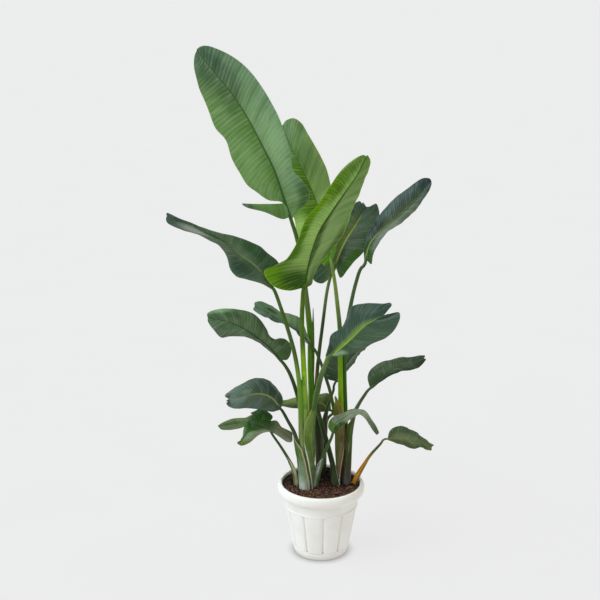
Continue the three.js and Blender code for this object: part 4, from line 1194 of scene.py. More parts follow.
# %% Bright front leaf
grow_blade("bright_front_leaf", "light_leaf", dict(
    rib=[(-0.048, -0.092, 0.79), (-0.038, -0.114, 0.85), (-0.028, -0.134, 0.9), (-0.009, -0.156, 0.958),
         (0.016, -0.176, 1.004), (0.049, -0.2, 1.06), (0.075, -0.221, 1.104), (0.098, -0.242, 1.158)],
    left=[(-0.084, -0.098, 0.784), (-0.124, -0.114, 0.8), (-0.148, -0.13, 0.848), (-0.108, -0.144, 0.868),
          (-0.088, -0.15, 0.888), (-0.062, -0.158, 0.934), (-0.044, -0.166, 0.986),
          (-0.01, -0.184, 1.036), (0.014, -0.2, 1.078), (0.042, -0.218, 1.122), (0.076, -0.236, 1.154),
          (0.092, -0.244, 1.162)],
    right=[(-0.028, -0.086, 0.798), (-0.024, -0.088, 0.82), (-0.004, -0.094, 0.86), (0.02, -0.1, 0.892),
           (0.05, -0.116, 0.932), (0.062, -0.132, 0.974), (0.068, -0.148, 1.004), (0.084, -0.172, 1.048),
           (0.098, -0.196, 1.088), (0.106, -0.22, 1.126), (0.108, -0.234, 1.148), (0.1, -0.244, 1.162)],
    stalk=[(-0.039, -0.022, 0.193), (-0.038, -0.027, 0.252), (-0.039, -0.036, 0.345),
           (-0.043, -0.047, 0.437), (-0.047, -0.061, 0.539), (-0.051, -0.072, 0.626),
           (-0.053, -0.081, 0.701), (-0.051, -0.088, 0.757)],
    stem="left_shoot", shows="under", crown=0.012, pitch=0.0085, rib_size=0.3,
    radii=(0.009, 0.009, 0.008, 0.0065, 0.006, 0.0055, 0.005), lean=(0.02, 0.1),
    stalk_look=dict(
        tones=((104, 118, 80), (94, 124, 30), (150, 200, 0), (76, 108, 20)), changes=(0.38, 0.49, 0.6)),
), dict(
    left=((146, 184, 96), (102, 156, 0)), right=((52, 82, 6), (132, 164, 98)), rib=(56, 86, 10),
    foot=(58, 96, 0), tip=(108, 144, 66), margin=(156, 196, 40), hidden=(60, 104, 24), veins=0.7,
    shine=0.1, vein=(176, 200, 110), reach=((0.4, 0.68), (0.12, 0.4)),
    patches=[(0.12, 0.36, 0.2, 0.22, (74, 120, 0), 0.95, SOFT),
             (0.3, 0.08, 0.34, 0.14, (40, 78, 0), 0.95, SOFT),
             (0.24, 0.26, 0.16, 0.12, (66, 108, 0), 0.85, SOFT),
             (0.62, 0.24, 0.1, 0.12, (46, 82, 0), 0.85, SOFT),
             (0.3, 0.72, 0.16, 0.16, (84, 128, 0), 0.85, SOFT),
             (0.55, 0.4, 0.05, 0.26, (34, 62, 0), 0.9, SOFT),
             (0.75, 0.1, 0.16, 0.08, (150, 176, 112), 0.7, SOFT),
             (0.14, 0.74, 0.14, 0.16, (98, 148, 0), 0.85, SOFT),
             (0.97, 0.3, 0.1, 0.2, (66, 98, 36), 0.8, SOFT),
             (0.6, 0.85, 0.12, 0.12, (78, 108, 54), 0.5, SOFT),
             (0.3, 0.9, 0.16, 0.1, (72, 112, 30), 0.7, SOFT),
             (0.02, 0.88, 0.06, 0.1, (176, 196, 140), 0.7, SOFT)]))

# %% Slate leaf
grow_blade("slate_leaf", "slate_leaf", dict(
    rib=[(0.036, 0.092, 0.794), (0.048, 0.112, 0.824), (0.066, 0.138, 0.856), (0.092, 0.17, 0.888),
         (0.112, 0.196, 0.916), (0.124, 0.212, 0.932)],
    left=[(0.024, 0.1, 0.764), (0.002, 0.108, 0.742), (-0.02, 0.108, 0.752), (-0.026, 0.112, 0.778),
          (-0.01, 0.116, 0.816), (0.024, 0.146, 0.866), (0.06, 0.176, 0.914), (0.092, 0.204, 0.944),
          (0.112, 0.214, 0.948)],
    right=[(0.05, 0.064, 0.772), (0.066, 0.074, 0.786), (0.088, 0.098, 0.806), (0.118, 0.13, 0.83),
           (0.144, 0.162, 0.864), (0.156, 0.19, 0.894), (0.16, 0.212, 0.92), (0.152, 0.22, 0.94),
           (0.138, 0.218, 0.932)],
    stalk=[(0.044, 0.012, 0.193), (0.034, 0.013, 0.242), (0.022, 0.017, 0.291), (0.006, 0.02, 0.35),
           (-0.007, 0.022, 0.397), (-0.013, 0.027, 0.442), (-0.012, 0.034, 0.503), (-0.007, 0.043, 0.56),
           (0.003, 0.058, 0.641), (0.016, 0.078, 0.736), (0.027, 0.088, 0.776)],
    stem="slate_leaf_stalk", shows="upper", crown=0.008, rib_size=0.9,
    radii=(0.0075, 0.007, 0.006, 0.005, 0.0045, 0.004, 0.004), lean=(0.05, 0.1),
    stalk_look=dict(
        tones=((48, 64, 31), (60, 80, 40), (54, 72, 32), (88, 112, 60)), changes=(0.35, 0.48, 0.68)),
    notches=((1, 0.62, 0.12, 0.02), (1, 0.95, 0.3, 0.012), (-1, 0.94, 0.3, 0.012), (1, 0.985, 0.3, 0.01)),
), dict(
    left=((102, 124, 66), (60, 88, 64)), right=((60, 86, 56), (78, 100, 74)), rib=(180, 200, 86),
    foot=(92, 118, 58), tip=(46, 72, 56), margin=(104, 124, 92), hidden=(58, 92, 40), veins=0.5,
    gloss=0.36, vein=(150, 166, 150),
    patches=[(0.9, 0.2, 0.14, 0.2, (54, 96, 22), 0.95, CRISP),
             (0.12, 0.85, 0.2, 0.2, (40, 66, 54), 0.6, SOFT),
             (0.35, 0.12, 0.16, 0.1, (104, 134, 72), 0.7, SOFT),
             (0.92, 0.5, 0.12, 0.14, (40, 76, 16), 0.7, SOFT)]))

# %% Upper right leaf
grow_blade("upper_right_leaf", "slate_leaf", dict(
    rib=[(0.118, 0.08, 0.816), (0.126, 0.09, 0.85), (0.146, 0.1, 0.878), (0.178, 0.116, 0.904),
         (0.214, 0.134, 0.932), (0.252, 0.156, 0.964), (0.28, 0.172, 0.99), (0.298, 0.184, 1.01)],
    left=[(0.114, 0.094, 0.844), (0.12, 0.11, 0.876), (0.136, 0.126, 0.9), (0.158, 0.142, 0.928),
          (0.186, 0.156, 0.956), (0.234, 0.176, 0.992), (0.276, 0.186, 1.018), (0.294, 0.186, 1.016)],
    right=[(0.132, 0.07, 0.808), (0.136, 0.066, 0.832), (0.15, 0.07, 0.862), (0.17, 0.076, 0.886),
           (0.204, 0.094, 0.91), (0.236, 0.114, 0.932), (0.264, 0.14, 0.954), (0.288, 0.164, 0.982),
           (0.298, 0.178, 1.002)],
    stalk=[(0.072, 0.006, 0.195), (0.068, 0.012, 0.294), (0.065, 0.024, 0.408), (0.062, 0.035, 0.52),
           (0.066, 0.047, 0.616), (0.078, 0.059, 0.694), (0.092, 0.069, 0.756), (0.105, 0.076, 0.794)],
    stem="right_shoot", shows="upper", crown=0.006, radii=(0.008, 0.007, 0.006, 0.005, 0.0045, 0.004),
    lean=(0.04, 0.06),
    stalk_look=dict(
        tones=((60, 65, 28), (48, 92, 10), (72, 98, 58), (64, 88, 48)), changes=(0.35, 0.57, 0.74)),
), dict(
    left=((80, 96, 66), (56, 78, 70)), right=((52, 72, 50), (98, 112, 92)), rib=(158, 176, 108),
    foot=(46, 78, 26), tip=(38, 62, 62), margin=(96, 112, 98), hidden=(70, 98, 62), veins=0.4, gloss=0.34,
    vein=(160, 174, 160), reach=((0.05, 0.5), (0.15, 0.7)),
    patches=[(0.1, 0.92, 0.32, 0.18, (16, 40, 42), 0.9, SOFT),
             (0.24, 0.3, 0.26, 0.14, (8, 36, 22), 0.95, SOFT),
             (0.6, 0.07, 0.5, 0.12, (50, 90, 24), 0.9, SOFT),
             (0.9, 0.5, 0.2, 0.12, (72, 90, 70), 0.6, SOFT),
             (0.3, 0.1, 0.26, 0.1, (38, 76, 12), 0.85, SOFT),
             (0.58, 0.45, 0.08, 0.2, (40, 62, 36), 0.8, SOFT)]))

# %% Long left leaf
grow_blade("long_left_leaf", "dark_leaf", dict(
    rib=[(-0.128, -0.092, 0.79), (-0.152, -0.112, 0.834), (-0.178, -0.13, 0.866), (-0.208, -0.148, 0.894),
         (-0.244, -0.164, 0.928), (-0.284, -0.182, 0.954), (-0.33, -0.204, 0.986), (-0.366, -0.22, 1.006),
         (-0.378, -0.226, 1.01)],
    left=[(-0.154, -0.116, 0.808), (-0.192, -0.138, 0.826), (-0.218, -0.156, 0.84),
          (-0.234, -0.166, 0.864), (-0.238, -0.172, 0.892), (-0.254, -0.178, 0.922),
          (-0.284, -0.188, 0.944), (-0.314, -0.196, 0.96), (-0.344, -0.208, 0.972),
          (-0.366, -0.218, 0.984), (-0.378, -0.224, 0.994), (-0.38, -0.226, 1.004)],
    right=[(-0.11, -0.076, 0.838), (-0.114, -0.076, 0.854), (-0.136, -0.086, 0.878),
           (-0.158, -0.106, 0.904), (-0.196, -0.122, 0.924), (-0.232, -0.142, 0.942),
           (-0.264, -0.164, 0.956), (-0.304, -0.186, 0.976), (-0.342, -0.208, 0.996),
           (-0.366, -0.22, 1.012), (-0.378, -0.226, 1.018)],
    stalk=[(-0.044, -0.022, 0.193), (-0.05, -0.031, 0.269), (-0.054, -0.044, 0.363),
           (-0.056, -0.057, 0.455), (-0.061, -0.07, 0.531), (-0.071, -0.078, 0.601),
           (-0.082, -0.082, 0.649), (-0.102, -0.089, 0.719)],
    stem="left_shoot", shows="upper", crown=0.007,
    radii=(0.007, 0.008, 0.0075, 0.006, 0.0055, 0.005, 0.0045, 0.004), lean=(0.03, -0.02),
    stalk_look=dict(
        tones=((124, 140, 112), (130, 152, 86), (104, 150, 40), (66, 98, 38)), changes=(0.3, 0.41, 0.57)),
), dict(
    left=((88, 110, 82), (88, 110, 86)), right=((90, 116, 82), (66, 98, 64)), rib=(118, 146, 92),
    foot=(66, 98, 44), tip=(66, 92, 78), margin=(112, 136, 104), hidden=(66, 98, 56), veins=0.45,
    gloss=0.36, vein=(156, 176, 162),
    # The first two patches paint the rolled tip: a pale underside strip and a dark strip of painted
    # shade.
    patches=[(0.3, 0.76, 0.3, 0.17, (160, 172, 160), 0.9, SOFT),
             (0.7, 0.8, 0.24, 0.2, (66, 88, 76), 0.7, SOFT),
             (0.22, 0.3, 0.3, 0.2, (18, 64, 36), 0.85, SOFT),
             (0.5, 0.27, 0.26, 0.1, (60, 90, 54), 0.6, SOFT),
             (0.62, 0.1, 0.14, 0.08, (98, 126, 56), 0.7, SOFT),
             (0.82, 0.3, 0.3, 0.16, (30, 76, 30), 0.8, SOFT)]))

# %% [markdown]
# ## Leaves at half height
#
# Below the crown the leaves are darker and turned outwards. The middle right leaf has a bright midrib
# on a nearly black-green blade, the middle left one a hooked lobe at its base, and two more stand behind
# the stalks, of which one is seen almost edge-on.

# %% Middle right leaf
grow_blade("middle_right_leaf", "dark_leaf", dict(
    rib=[(0.022, -0.102, 0.612), (0.044, -0.116, 0.634), (0.072, -0.134, 0.666), (0.102, -0.15, 0.704),
         (0.128, -0.162, 0.726), (0.152, -0.17, 0.742)],
    left=[(0.008, -0.094, 0.604), (0.018, -0.092, 0.636), (0.024, -0.094, 0.666), (0.048, -0.1, 0.686),
          (0.06, -0.106, 0.714), (0.074, -0.114, 0.746), (0.106, -0.128, 0.76), (0.144, -0.146, 0.766),
          (0.17, -0.156, 0.77), (0.172, -0.16, 0.764)],
    right=[(0.046, -0.116, 0.614), (0.07, -0.132, 0.626), (0.098, -0.148, 0.64), (0.124, -0.164, 0.664),
           (0.158, -0.176, 0.684), (0.182, -0.186, 0.714), (0.192, -0.184, 0.74), (0.19, -0.176, 0.752),
           (0.174, -0.176, 0.75)],
    stalk=[(-0.033, -0.024, 0.194), (-0.028, -0.033, 0.27), (-0.024, -0.044, 0.349),
           (-0.022, -0.06, 0.436), (-0.013, -0.074, 0.499), (-0.003, -0.086, 0.548),
           (0.011, -0.097, 0.592)],
    stem="left_shoot", shows="upper", crown=0.008,
    radii=(0.007, 0.006, 0.006, 0.008, 0.0065, 0.005, 0.0045), lean=(0.05, 0.02),
    stalk_look=dict(
        tones=((86, 106, 69), (58, 84, 34), (70, 96, 46), (86, 112, 60)), changes=(0.31, 0.47, 0.56)),
    notches=((1, 0.93, 0.3, 0.02),),
), dict(
    left=((114, 142, 66), (56, 80, 64)), right=((50, 78, 50), (72, 96, 72)), rib=(150, 184, 56),
    foot=(66, 92, 62), tip=(44, 68, 54), margin=(112, 142, 98), hidden=(62, 96, 50), veins=0.42,
    gloss=0.34, vein=(150, 172, 150), reach=((0.05, 0.3), (0.05, 0.9)),
    patches=[(0.22, 0.9, 0.28, 0.16, (20, 46, 34), 0.9, SOFT),
             (0.75, 0.1, 0.28, 0.13, (144, 174, 136), 0.9, SOFT),
             (0.9, 0.8, 0.14, 0.14, (56, 80, 66), 0.6, SOFT),
             (0.2, 0.1, 0.2, 0.1, (28, 48, 30), 0.85, SOFT)]))

# %% Middle left leaf
grow_blade("middle_left_leaf", "mid_leaf", dict(
    rib=[(-0.108, -0.026, 0.568), (-0.134, -0.028, 0.6), (-0.166, -0.03, 0.63), (-0.2, -0.03, 0.656),
         (-0.24, -0.03, 0.676), (-0.276, -0.028, 0.684), (-0.3, -0.028, 0.688)],
    left=[(-0.14, -0.032, 0.6), (-0.174, -0.038, 0.628), (-0.21, -0.044, 0.642), (-0.242, -0.046, 0.644),
          (-0.264, -0.05, 0.642), (-0.284, -0.044, 0.66), (-0.3, -0.032, 0.682)],
    right=[(-0.092, -0.016, 0.568), (-0.084, -0.012, 0.58), (-0.082, -0.006, 0.594),
           (-0.086, -0.004, 0.61), (-0.1, -0.002, 0.622), (-0.114, -0.004, 0.624),
           (-0.124, -0.006, 0.622), (-0.138, -0.006, 0.632), (-0.148, -0.006, 0.656),
           (-0.168, -0.006, 0.682), (-0.192, -0.006, 0.698), (-0.238, -0.008, 0.708),
           (-0.276, -0.012, 0.708), (-0.302, -0.022, 0.698)],
    stalk=[(-0.047, -0.018, 0.194), (-0.049, -0.02, 0.338), (-0.058, -0.022, 0.432),
           (-0.066, -0.023, 0.473), (-0.085, -0.025, 0.531)],
    stem="left_shoot", shows="upper", crown=0.006, radii=(0.006, 0.006, 0.0055, 0.0045, 0.004),
    lean=(0.03, 0.06),
    stalk_look=dict(
        tones=((84, 107, 66), (84, 107, 54), (52, 77, 40), (54, 80, 42)), changes=(0.3, 0.45, 0.52)),
), dict(
    left=((68, 94, 60), (86, 102, 80)), right=((80, 102, 68), (72, 100, 60)), rib=(46, 76, 34),
    foot=(66, 98, 48), tip=(70, 96, 66), margin=(116, 142, 100), hidden=(62, 94, 54), veins=0.45,
    patches=[(0.78, 0.72, 0.16, 0.14, (48, 76, 46), 0.8, SOFT),
             (0.86, 0.2, 0.2, 0.06, (50, 82, 38), 0.7, SOFT),
             (0.9, 0.28, 0.16, 0.03, (36, 52, 28), 0.6, SOFT),
             (0.96, 0.85, 0.2, 0.16, (118, 160, 104), 0.85, SOFT),
             (0.3, 0.85, 0.2, 0.2, (52, 78, 46), 0.6, SOFT)]))

# %% Small back leaf
grow_blade("small_back_leaf", "mid_leaf", dict(
    rib=[(-0.032, -0.008, 0.61), (-0.052, -0.006, 0.634), (-0.082, -0.006, 0.656),
         (-0.116, -0.004, 0.676), (-0.148, 0, 0.696), (-0.178, 0.004, 0.71)],
    left=[(-0.05, -0.012, 0.622), (-0.068, -0.014, 0.644), (-0.1, -0.016, 0.666), (-0.132, -0.016, 0.68),
          (-0.158, -0.01, 0.688), (-0.174, -0.002, 0.696), (-0.182, 0.002, 0.704)],
    right=[(-0.042, 0.002, 0.642), (-0.058, 0.014, 0.674), (-0.084, 0.02, 0.684), (-0.112, 0.022, 0.694),
           (-0.142, 0.016, 0.712), (-0.164, 0.012, 0.722), (-0.178, 0.006, 0.72)],
    stalk=[(0.066, 0.004, 0.208), (0.06, 0.002, 0.284), (0.047, 0.001, 0.358), (0.033, 0, 0.423),
           (0.022, -0.001, 0.476), (0.009, -0.003, 0.519), (-0.003, -0.005, 0.557),
           (-0.018, -0.007, 0.592)],
    stem="right_shoot", shows="upper", crown=0.004, radii=(0.006, 0.005, 0.0045, 0.004, 0.0035, 0.0035),
    stalk_look=dict(
        tones=((66, 78, 40), (66, 78, 38), (68, 90, 26), (50, 74, 45)), changes=(0.3, 0.39, 0.47)),
), dict(
    left=((74, 98, 78), (66, 88, 72)), right=((86, 116, 76), (92, 122, 84)), rib=(36, 62, 46),
    foot=(142, 162, 124), tip=(90, 120, 92), margin=(130, 154, 118), hidden=(58, 90, 56), veins=0.4,
    gloss=0.36,
    patches=[(0.72, 0.7, 0.14, 0.12, (26, 56, 34), 0.9, SOFT),
             (0.62, 0.4, 0.3, 0.16, (96, 128, 82), 0.8, SOFT),
             (0.3, 0.72, 0.14, 0.1, (50, 72, 60), 0.8, SOFT)]))

# %% Hidden right leaf
grow_blade("hidden_right_leaf", "dark_leaf", dict(
    rib=[(0.04, 0.056, 0.478), (0.054, 0.074, 0.5), (0.072, 0.092, 0.52), (0.094, 0.112, 0.538),
         (0.12, 0.132, 0.554)],
    left=[(0.016, 0.052, 0.488), (0.006, 0.056, 0.512), (0.016, 0.08, 0.538), (0.046, 0.108, 0.558),
          (0.086, 0.134, 0.566), (0.126, 0.14, 0.56)],
    right=[(0.066, 0.068, 0.498), (0.09, 0.086, 0.522), (0.11, 0.108, 0.542), (0.128, 0.13, 0.556)],
    stalk=[(-0.002, 0.078, 0.191), (-0.001, 0.073, 0.267), (0.006, 0.066, 0.352), (0.022, 0.061, 0.416),
           (0.034, 0.057, 0.453)],
    stem="back_shoot", shows="upper", crown=0.004, radii=(0.005, 0.0045, 0.0035, 0.003),
    stalk_look=dict(
        tones=((52, 53, 35), (58, 64, 35), (62, 88, 52), (64, 90, 54)), changes=(0.3, 0.38, 0.44)),
), dict(
    left=((72, 94, 70), (70, 92, 68)), right=((80, 98, 78), (84, 100, 82)), rib=(90, 112, 72),
    foot=(48, 74, 38), tip=(84, 100, 78), margin=(96, 116, 88), hidden=(62, 90, 58), veins=0.4))

# %% [markdown]
# ## The low leaves
#
# The oldest leaves hang low over the rim. They are dark and glossy, with pale patches of painted sheen.
# One droops over in front in a narrow arch, one points at the viewer, and a long one lies out to the left
# behind the stalks.

# %% Lower right leaf
grow_blade("lower_right_leaf", "dark_leaf", dict(
    rib=[(0.134, 0.024, 0.472), (0.16, 0.032, 0.494), (0.192, 0.046, 0.518), (0.226, 0.056, 0.53),
         (0.256, 0.064, 0.536), (0.28, 0.068, 0.54)],
    left=[(0.126, 0.04, 0.498), (0.136, 0.058, 0.514), (0.158, 0.074, 0.524), (0.186, 0.084, 0.53),
          (0.216, 0.088, 0.538), (0.25, 0.088, 0.538), (0.284, 0.078, 0.546)],
    right=[(0.162, 0.024, 0.49), (0.186, 0.028, 0.506), (0.214, 0.032, 0.516), (0.244, 0.038, 0.518),
           (0.268, 0.05, 0.524), (0.286, 0.066, 0.54)],
    stalk=[(0.077, 0.004, 0.194), (0.076, 0, 0.285), (0.081, 0.003, 0.358), (0.0905, 0.01, 0.405),
           (0.104, 0.016, 0.432), (0.118, 0.021, 0.453)],
    stem="right_shoot", shows="upper", crown=0.005, radii=(0.006, 0.0065, 0.006, 0.0045, 0.004, 0.0035),
    stalk_look=dict(
        tones=((104, 110, 112), (72, 88, 52), (86, 98, 78), (72, 92, 54)), changes=(0.26, 0.34, 0.42)),
), dict(
    left=((58, 80, 46), (52, 72, 48)), right=((48, 68, 40), (44, 62, 42)), rib=(78, 100, 58),
    foot=(60, 86, 46), tip=(38, 56, 42), margin=(92, 112, 82), hidden=(62, 90, 52), veins=0.35,
    gloss=0.35,
    patches=[(0.1, 0.3, 0.14, 0.14, (92, 112, 74), 0.6, SOFT),
             (0.3, 0.8, 0.3, 0.2, (28, 46, 34), 0.85, SOFT),
             (0.7, 0.5, 0.3, 0.3, (38, 60, 32), 0.6, SOFT)]), wave=0.5)

# %% Low right leaf
grow_blade("low_right_leaf", "dark_leaf", dict(
    rib=[(0.182, -0.008, 0.336), (0.21, -0.002, 0.336), (0.238, 0.002, 0.328), (0.266, 0.008, 0.316),
         (0.29, 0.014, 0.308), (0.304, 0.016, 0.302)],
    left=[(0.188, 0.008, 0.354), (0.208, 0.022, 0.36), (0.238, 0.03, 0.352), (0.262, 0.032, 0.34),
          (0.28, 0.03, 0.322), (0.298, 0.024, 0.312), (0.31, 0.018, 0.306)],
    right=[(0.204, -0.014, 0.326), (0.226, -0.014, 0.32), (0.252, -0.01, 0.306), (0.27, -0.006, 0.31),
           (0.284, 0, 0.304), (0.302, 0.01, 0.294)],
    stalk=[(0.092, 0.008, 0.195), (0.102, 0.005, 0.225), (0.117, 0.002, 0.255), (0.138, -0.001, 0.289),
           (0.163, -0.006, 0.322)],
    stem="low_right_leaf_stalk", shows="upper", crown=0.005, radii=(0.005, 0.0045, 0.004, 0.003, 0.0025),
    stalk_look=dict(
        tones=((200, 132, 30), (214, 140, 26), (104, 110, 52), (84, 94, 66)), changes=(0.2, 0.25, 0.29),
        stripe=(240, 160, 50, 0.8), stripe_at=0.3),
), dict(
    left=((112, 124, 88), (66, 86, 54)), right=((104, 114, 78), (74, 90, 56)), rib=(136, 146, 104),
    foot=(66, 86, 52), tip=(92, 108, 62), margin=(108, 126, 84), hidden=(62, 86, 50), veins=0.35,
    gloss=0.36, reach=((0.1, 0.6), (0.1, 0.6))))

# %% Drooping leaf
grow_blade("drooping_leaf", "slate_leaf", dict(
    rib=[(0.03, -0.052, 0.372), (0.036, -0.056, 0.398), (0.062, -0.068, 0.424), (0.092, -0.08, 0.444),
         (0.116, -0.092, 0.44), (0.132, -0.102, 0.418), (0.148, -0.108, 0.394)],
    left=[(0.0175, -0.046, 0.388), (0.025, -0.043, 0.41), (0.06, -0.05, 0.432), (0.09, -0.064, 0.446),
          (0.116, -0.078, 0.446), (0.134, -0.094, 0.424), (0.15, -0.106, 0.396)],
    right=[(0.046, -0.07, 0.388), (0.062, -0.082, 0.414), (0.08, -0.088, 0.43), (0.098, -0.096, 0.442),
           (0.112, -0.102, 0.436), (0.126, -0.106, 0.416), (0.144, -0.11, 0.392)],
    stalk=[(-0.015, -0.014, 0.194), (-0.012, -0.017, 0.227), (-0.003, -0.023, 0.265),
           (0.006, -0.03, 0.298), (0.018, -0.04, 0.332)],
    stem="drooping_leaf_stalk", shows="upper", crown=0.003, radii=(0.0055, 0.0065, 0.005, 0.004, 0.0035),
    stalk_look=dict(
        tones=((150, 164, 150), (96, 120, 88), (72, 100, 52), (58, 88, 40)), changes=(0.225, 0.25, 0.29)),
), dict(
    left=((132, 144, 120), (114, 124, 100)), right=((136, 146, 122), (116, 124, 100)), rib=(102, 116, 88),
    foot=(54, 88, 18), tip=(62, 78, 44), margin=(146, 156, 134), hidden=(70, 98, 60), veins=0.6,
    patches=[(0.5, 0.28, 0.5, 0.12, (92, 106, 78), 0.8, SOFT),
             (0.5, 0.0, 1.5, 0.17, (78, 116, 10), 1.0, 0.2),
             (0.95, 0.15, 0.4, 0.16, (50, 74, 12), 1.0, 0.3)]), wave=0.6)

# %% Lower left leaf
grow_blade("lower_left_leaf", "dark_leaf", dict(
    rib=[(-0.11, -0.066, 0.448), (-0.132, -0.082, 0.484), (-0.158, -0.098, 0.502),
         (-0.188, -0.118, 0.508), (-0.216, -0.136, 0.506), (-0.24, -0.15, 0.508)],
    left=[(-0.13, -0.082, 0.446), (-0.158, -0.108, 0.462), (-0.198, -0.136, 0.478),
          (-0.23, -0.158, 0.486), (-0.248, -0.162, 0.502), (-0.248, -0.162, 0.508)],
    right=[(-0.104, -0.05, 0.47), (-0.12, -0.044, 0.502), (-0.146, -0.052, 0.524),
           (-0.172, -0.066, 0.534), (-0.204, -0.09, 0.532), (-0.232, -0.116, 0.524),
           (-0.252, -0.146, 0.514)],
    stalk=[(-0.05, -0.022, 0.193), (-0.058, -0.032, 0.269), (-0.065, -0.044, 0.334),
           (-0.073, -0.052, 0.372), (-0.09, -0.06, 0.41)],
    stem="left_shoot", shows="upper", crown=0.007, radii=(0.006, 0.007, 0.006, 0.0045, 0.004, 0.0035),
    stalk_look=dict(
        tones=((84, 106, 72), (76, 102, 60), (64, 88, 46), (46, 64, 38)), changes=(0.24, 0.3, 0.38)),
    notches=((-1, 0.9, 0.25, 0.02),),
), dict(
    left=((76, 96, 80), (80, 102, 88)), right=((56, 80, 64), (72, 94, 80)), rib=(148, 158, 92),
    foot=(50, 66, 48), tip=(118, 140, 126), margin=(50, 68, 58), hidden=(62, 92, 60), veins=0.5,
    gloss=0.34, vein=(156, 176, 166),
    patches=[(0.8, 0.82, 0.2, 0.14, (84, 108, 94), 0.5, SOFT),
             (0.7, 0.3, 0.22, 0.13, (34, 56, 44), 0.75, SOFT),
             (0.62, 0.68, 0.12, 0.12, (116, 140, 112), 0.6, SOFT),
             (0.25, 0.28, 0.3, 0.14, (58, 78, 46), 0.75, SOFT),
             (0.97, 0.3, 0.12, 0.16, (58, 76, 58), 0.75, SOFT),
             (0.85, 0.94, 0.22, 0.1, (56, 76, 66), 0.85, SOFT),
             (0.76, 0.42, 0.2, 0.09, (22, 46, 34), 0.8, SOFT),
             (0.06, 0.9, 0.12, 0.16, (40, 60, 48), 0.8, SOFT)]))

# %% Back left leaf
grow_blade("back_left_leaf", "mid_leaf", dict(
    rib=[(0.026, 0.092, 0.38), (-0.002, 0.092, 0.402), (-0.044, 0.094, 0.404), (-0.088, 0.096, 0.396),
         (-0.124, 0.096, 0.394), (-0.156, 0.096, 0.382), (-0.178, 0.094, 0.362), (-0.204, 0.092, 0.346),
         (-0.236, 0.092, 0.338), (-0.27, 0.088, 0.334), (-0.288, 0.088, 0.334)],
    left=[(-0.008, 0.084, 0.378), (-0.044, 0.082, 0.388), (-0.088, 0.08, 0.392), (-0.124, 0.076, 0.394),
          (-0.15, 0.072, 0.39), (-0.17, 0.07, 0.37), (-0.198, 0.07, 0.342), (-0.226, 0.072, 0.332),
          (-0.254, 0.076, 0.326), (-0.278, 0.082, 0.326)],
    right=[(0.022, 0.104, 0.424), (-0.014, 0.112, 0.416), (-0.058, 0.118, 0.406), (-0.102, 0.122, 0.4),
           (-0.136, 0.126, 0.392), (-0.162, 0.124, 0.378), (-0.182, 0.12, 0.356), (-0.206, 0.112, 0.35),
           (-0.244, 0.104, 0.35), (-0.274, 0.094, 0.342)],
    stalk=[(0.001, 0.08, 0.19), (0.007, 0.083, 0.263), (0.013, 0.087, 0.322), (0.02, 0.089, 0.357)],
    stem="back_shoot", shows="upper", crown=0.004, radii=(0.005, 0.0045, 0.004, 0.0035),
    stalk_look=dict(
        tones=((46, 40, 28), (46, 46, 28), (62, 76, 34), (66, 88, 36)), changes=(0.25, 0.3, 0.35)),
), dict(
    left=((78, 92, 36), (72, 88, 36)), right=((84, 104, 42), (90, 110, 52)), rib=(114, 134, 66),
    foot=(82, 88, 46), tip=(78, 98, 62), margin=(118, 136, 82), hidden=(66, 92, 48), veins=0.35,
    patches=[(0.8, 0.3, 0.24, 0.12, (116, 144, 56), 0.6, SOFT),
             (0.5, 0.69, 0.6, 0.1, (34, 62, 34), 0.7, SOFT),
             (1.0, 0.04, 0.2, 0.06, (110, 60, 40), 0.8, SOFT)]))

# %% Front left leaf
grow_blade("front_left_leaf", "dark_leaf", dict(
    rib=[(-0.144, -0.072, 0.406), (-0.146, -0.08, 0.418), (-0.16, -0.098, 0.426), (-0.18, -0.13, 0.422),
         (-0.2, -0.164, 0.412), (-0.218, -0.188, 0.4)],
    left=[(-0.122, -0.06, 0.412), (-0.108, -0.05, 0.392), (-0.096, -0.044, 0.378), (-0.08, -0.038, 0.368),
          (-0.078, -0.04, 0.358), (-0.08, -0.05, 0.346), (-0.092, -0.058, 0.348), (-0.104, -0.066, 0.358),
          (-0.114, -0.074, 0.372), (-0.126, -0.086, 0.388), (-0.15, -0.112, 0.4), (-0.172, -0.142, 0.4),
          (-0.19, -0.168, 0.394), (-0.21, -0.186, 0.394)],
    right=[(-0.132, -0.06, 0.422), (-0.144, -0.056, 0.436), (-0.158, -0.06, 0.448),
           (-0.174, -0.07, 0.446), (-0.188, -0.092, 0.446), (-0.18, -0.092, 0.442),
           (-0.19, -0.108, 0.438), (-0.198, -0.126, 0.432), (-0.204, -0.144, 0.424),
           (-0.206, -0.162, 0.414), (-0.21, -0.176, 0.406), (-0.22, -0.188, 0.404)],
    stalk=[(-0.067, -0.008, 0.194), (-0.073, -0.016, 0.244), (-0.091, -0.028, 0.288),
           (-0.113, -0.046, 0.335), (-0.133, -0.06, 0.373)],
    stem="front_left_leaf_stalk", shows="upper", crown=0.005,
    radii=(0.005, 0.0045, 0.0035, 0.003, 0.0025),
    stalk_look=dict(
        tones=((124, 126, 88), (100, 112, 70), (66, 92, 48), (52, 82, 40)), changes=(0.22, 0.27, 0.32)),
), dict(
    left=((50, 86, 34), (146, 154, 130)), right=((46, 92, 32), (40, 92, 28)), rib=(60, 92, 44),
    foot=(40, 96, 0), tip=(110, 136, 76), margin=(118, 156, 56), hidden=(64, 94, 52), veins=0.35,
    gloss=0.36, reach=((0.2, 0.75), (0.05, 0.9)),
    patches=[(0.34, 0.75, 0.3, 0.17, (140, 168, 134), 0.9, SOFT),
             (0.76, 0.56, 0.2, 0.14, (26, 60, 34), 0.7, SOFT),
             (0.15, 0.95, 0.3, 0.12, (96, 122, 44), 0.8, SOFT),
             (0.15, 0.27, 0.2, 0.14, (118, 122, 96), 0.9, SOFT)]), wave=0.8)

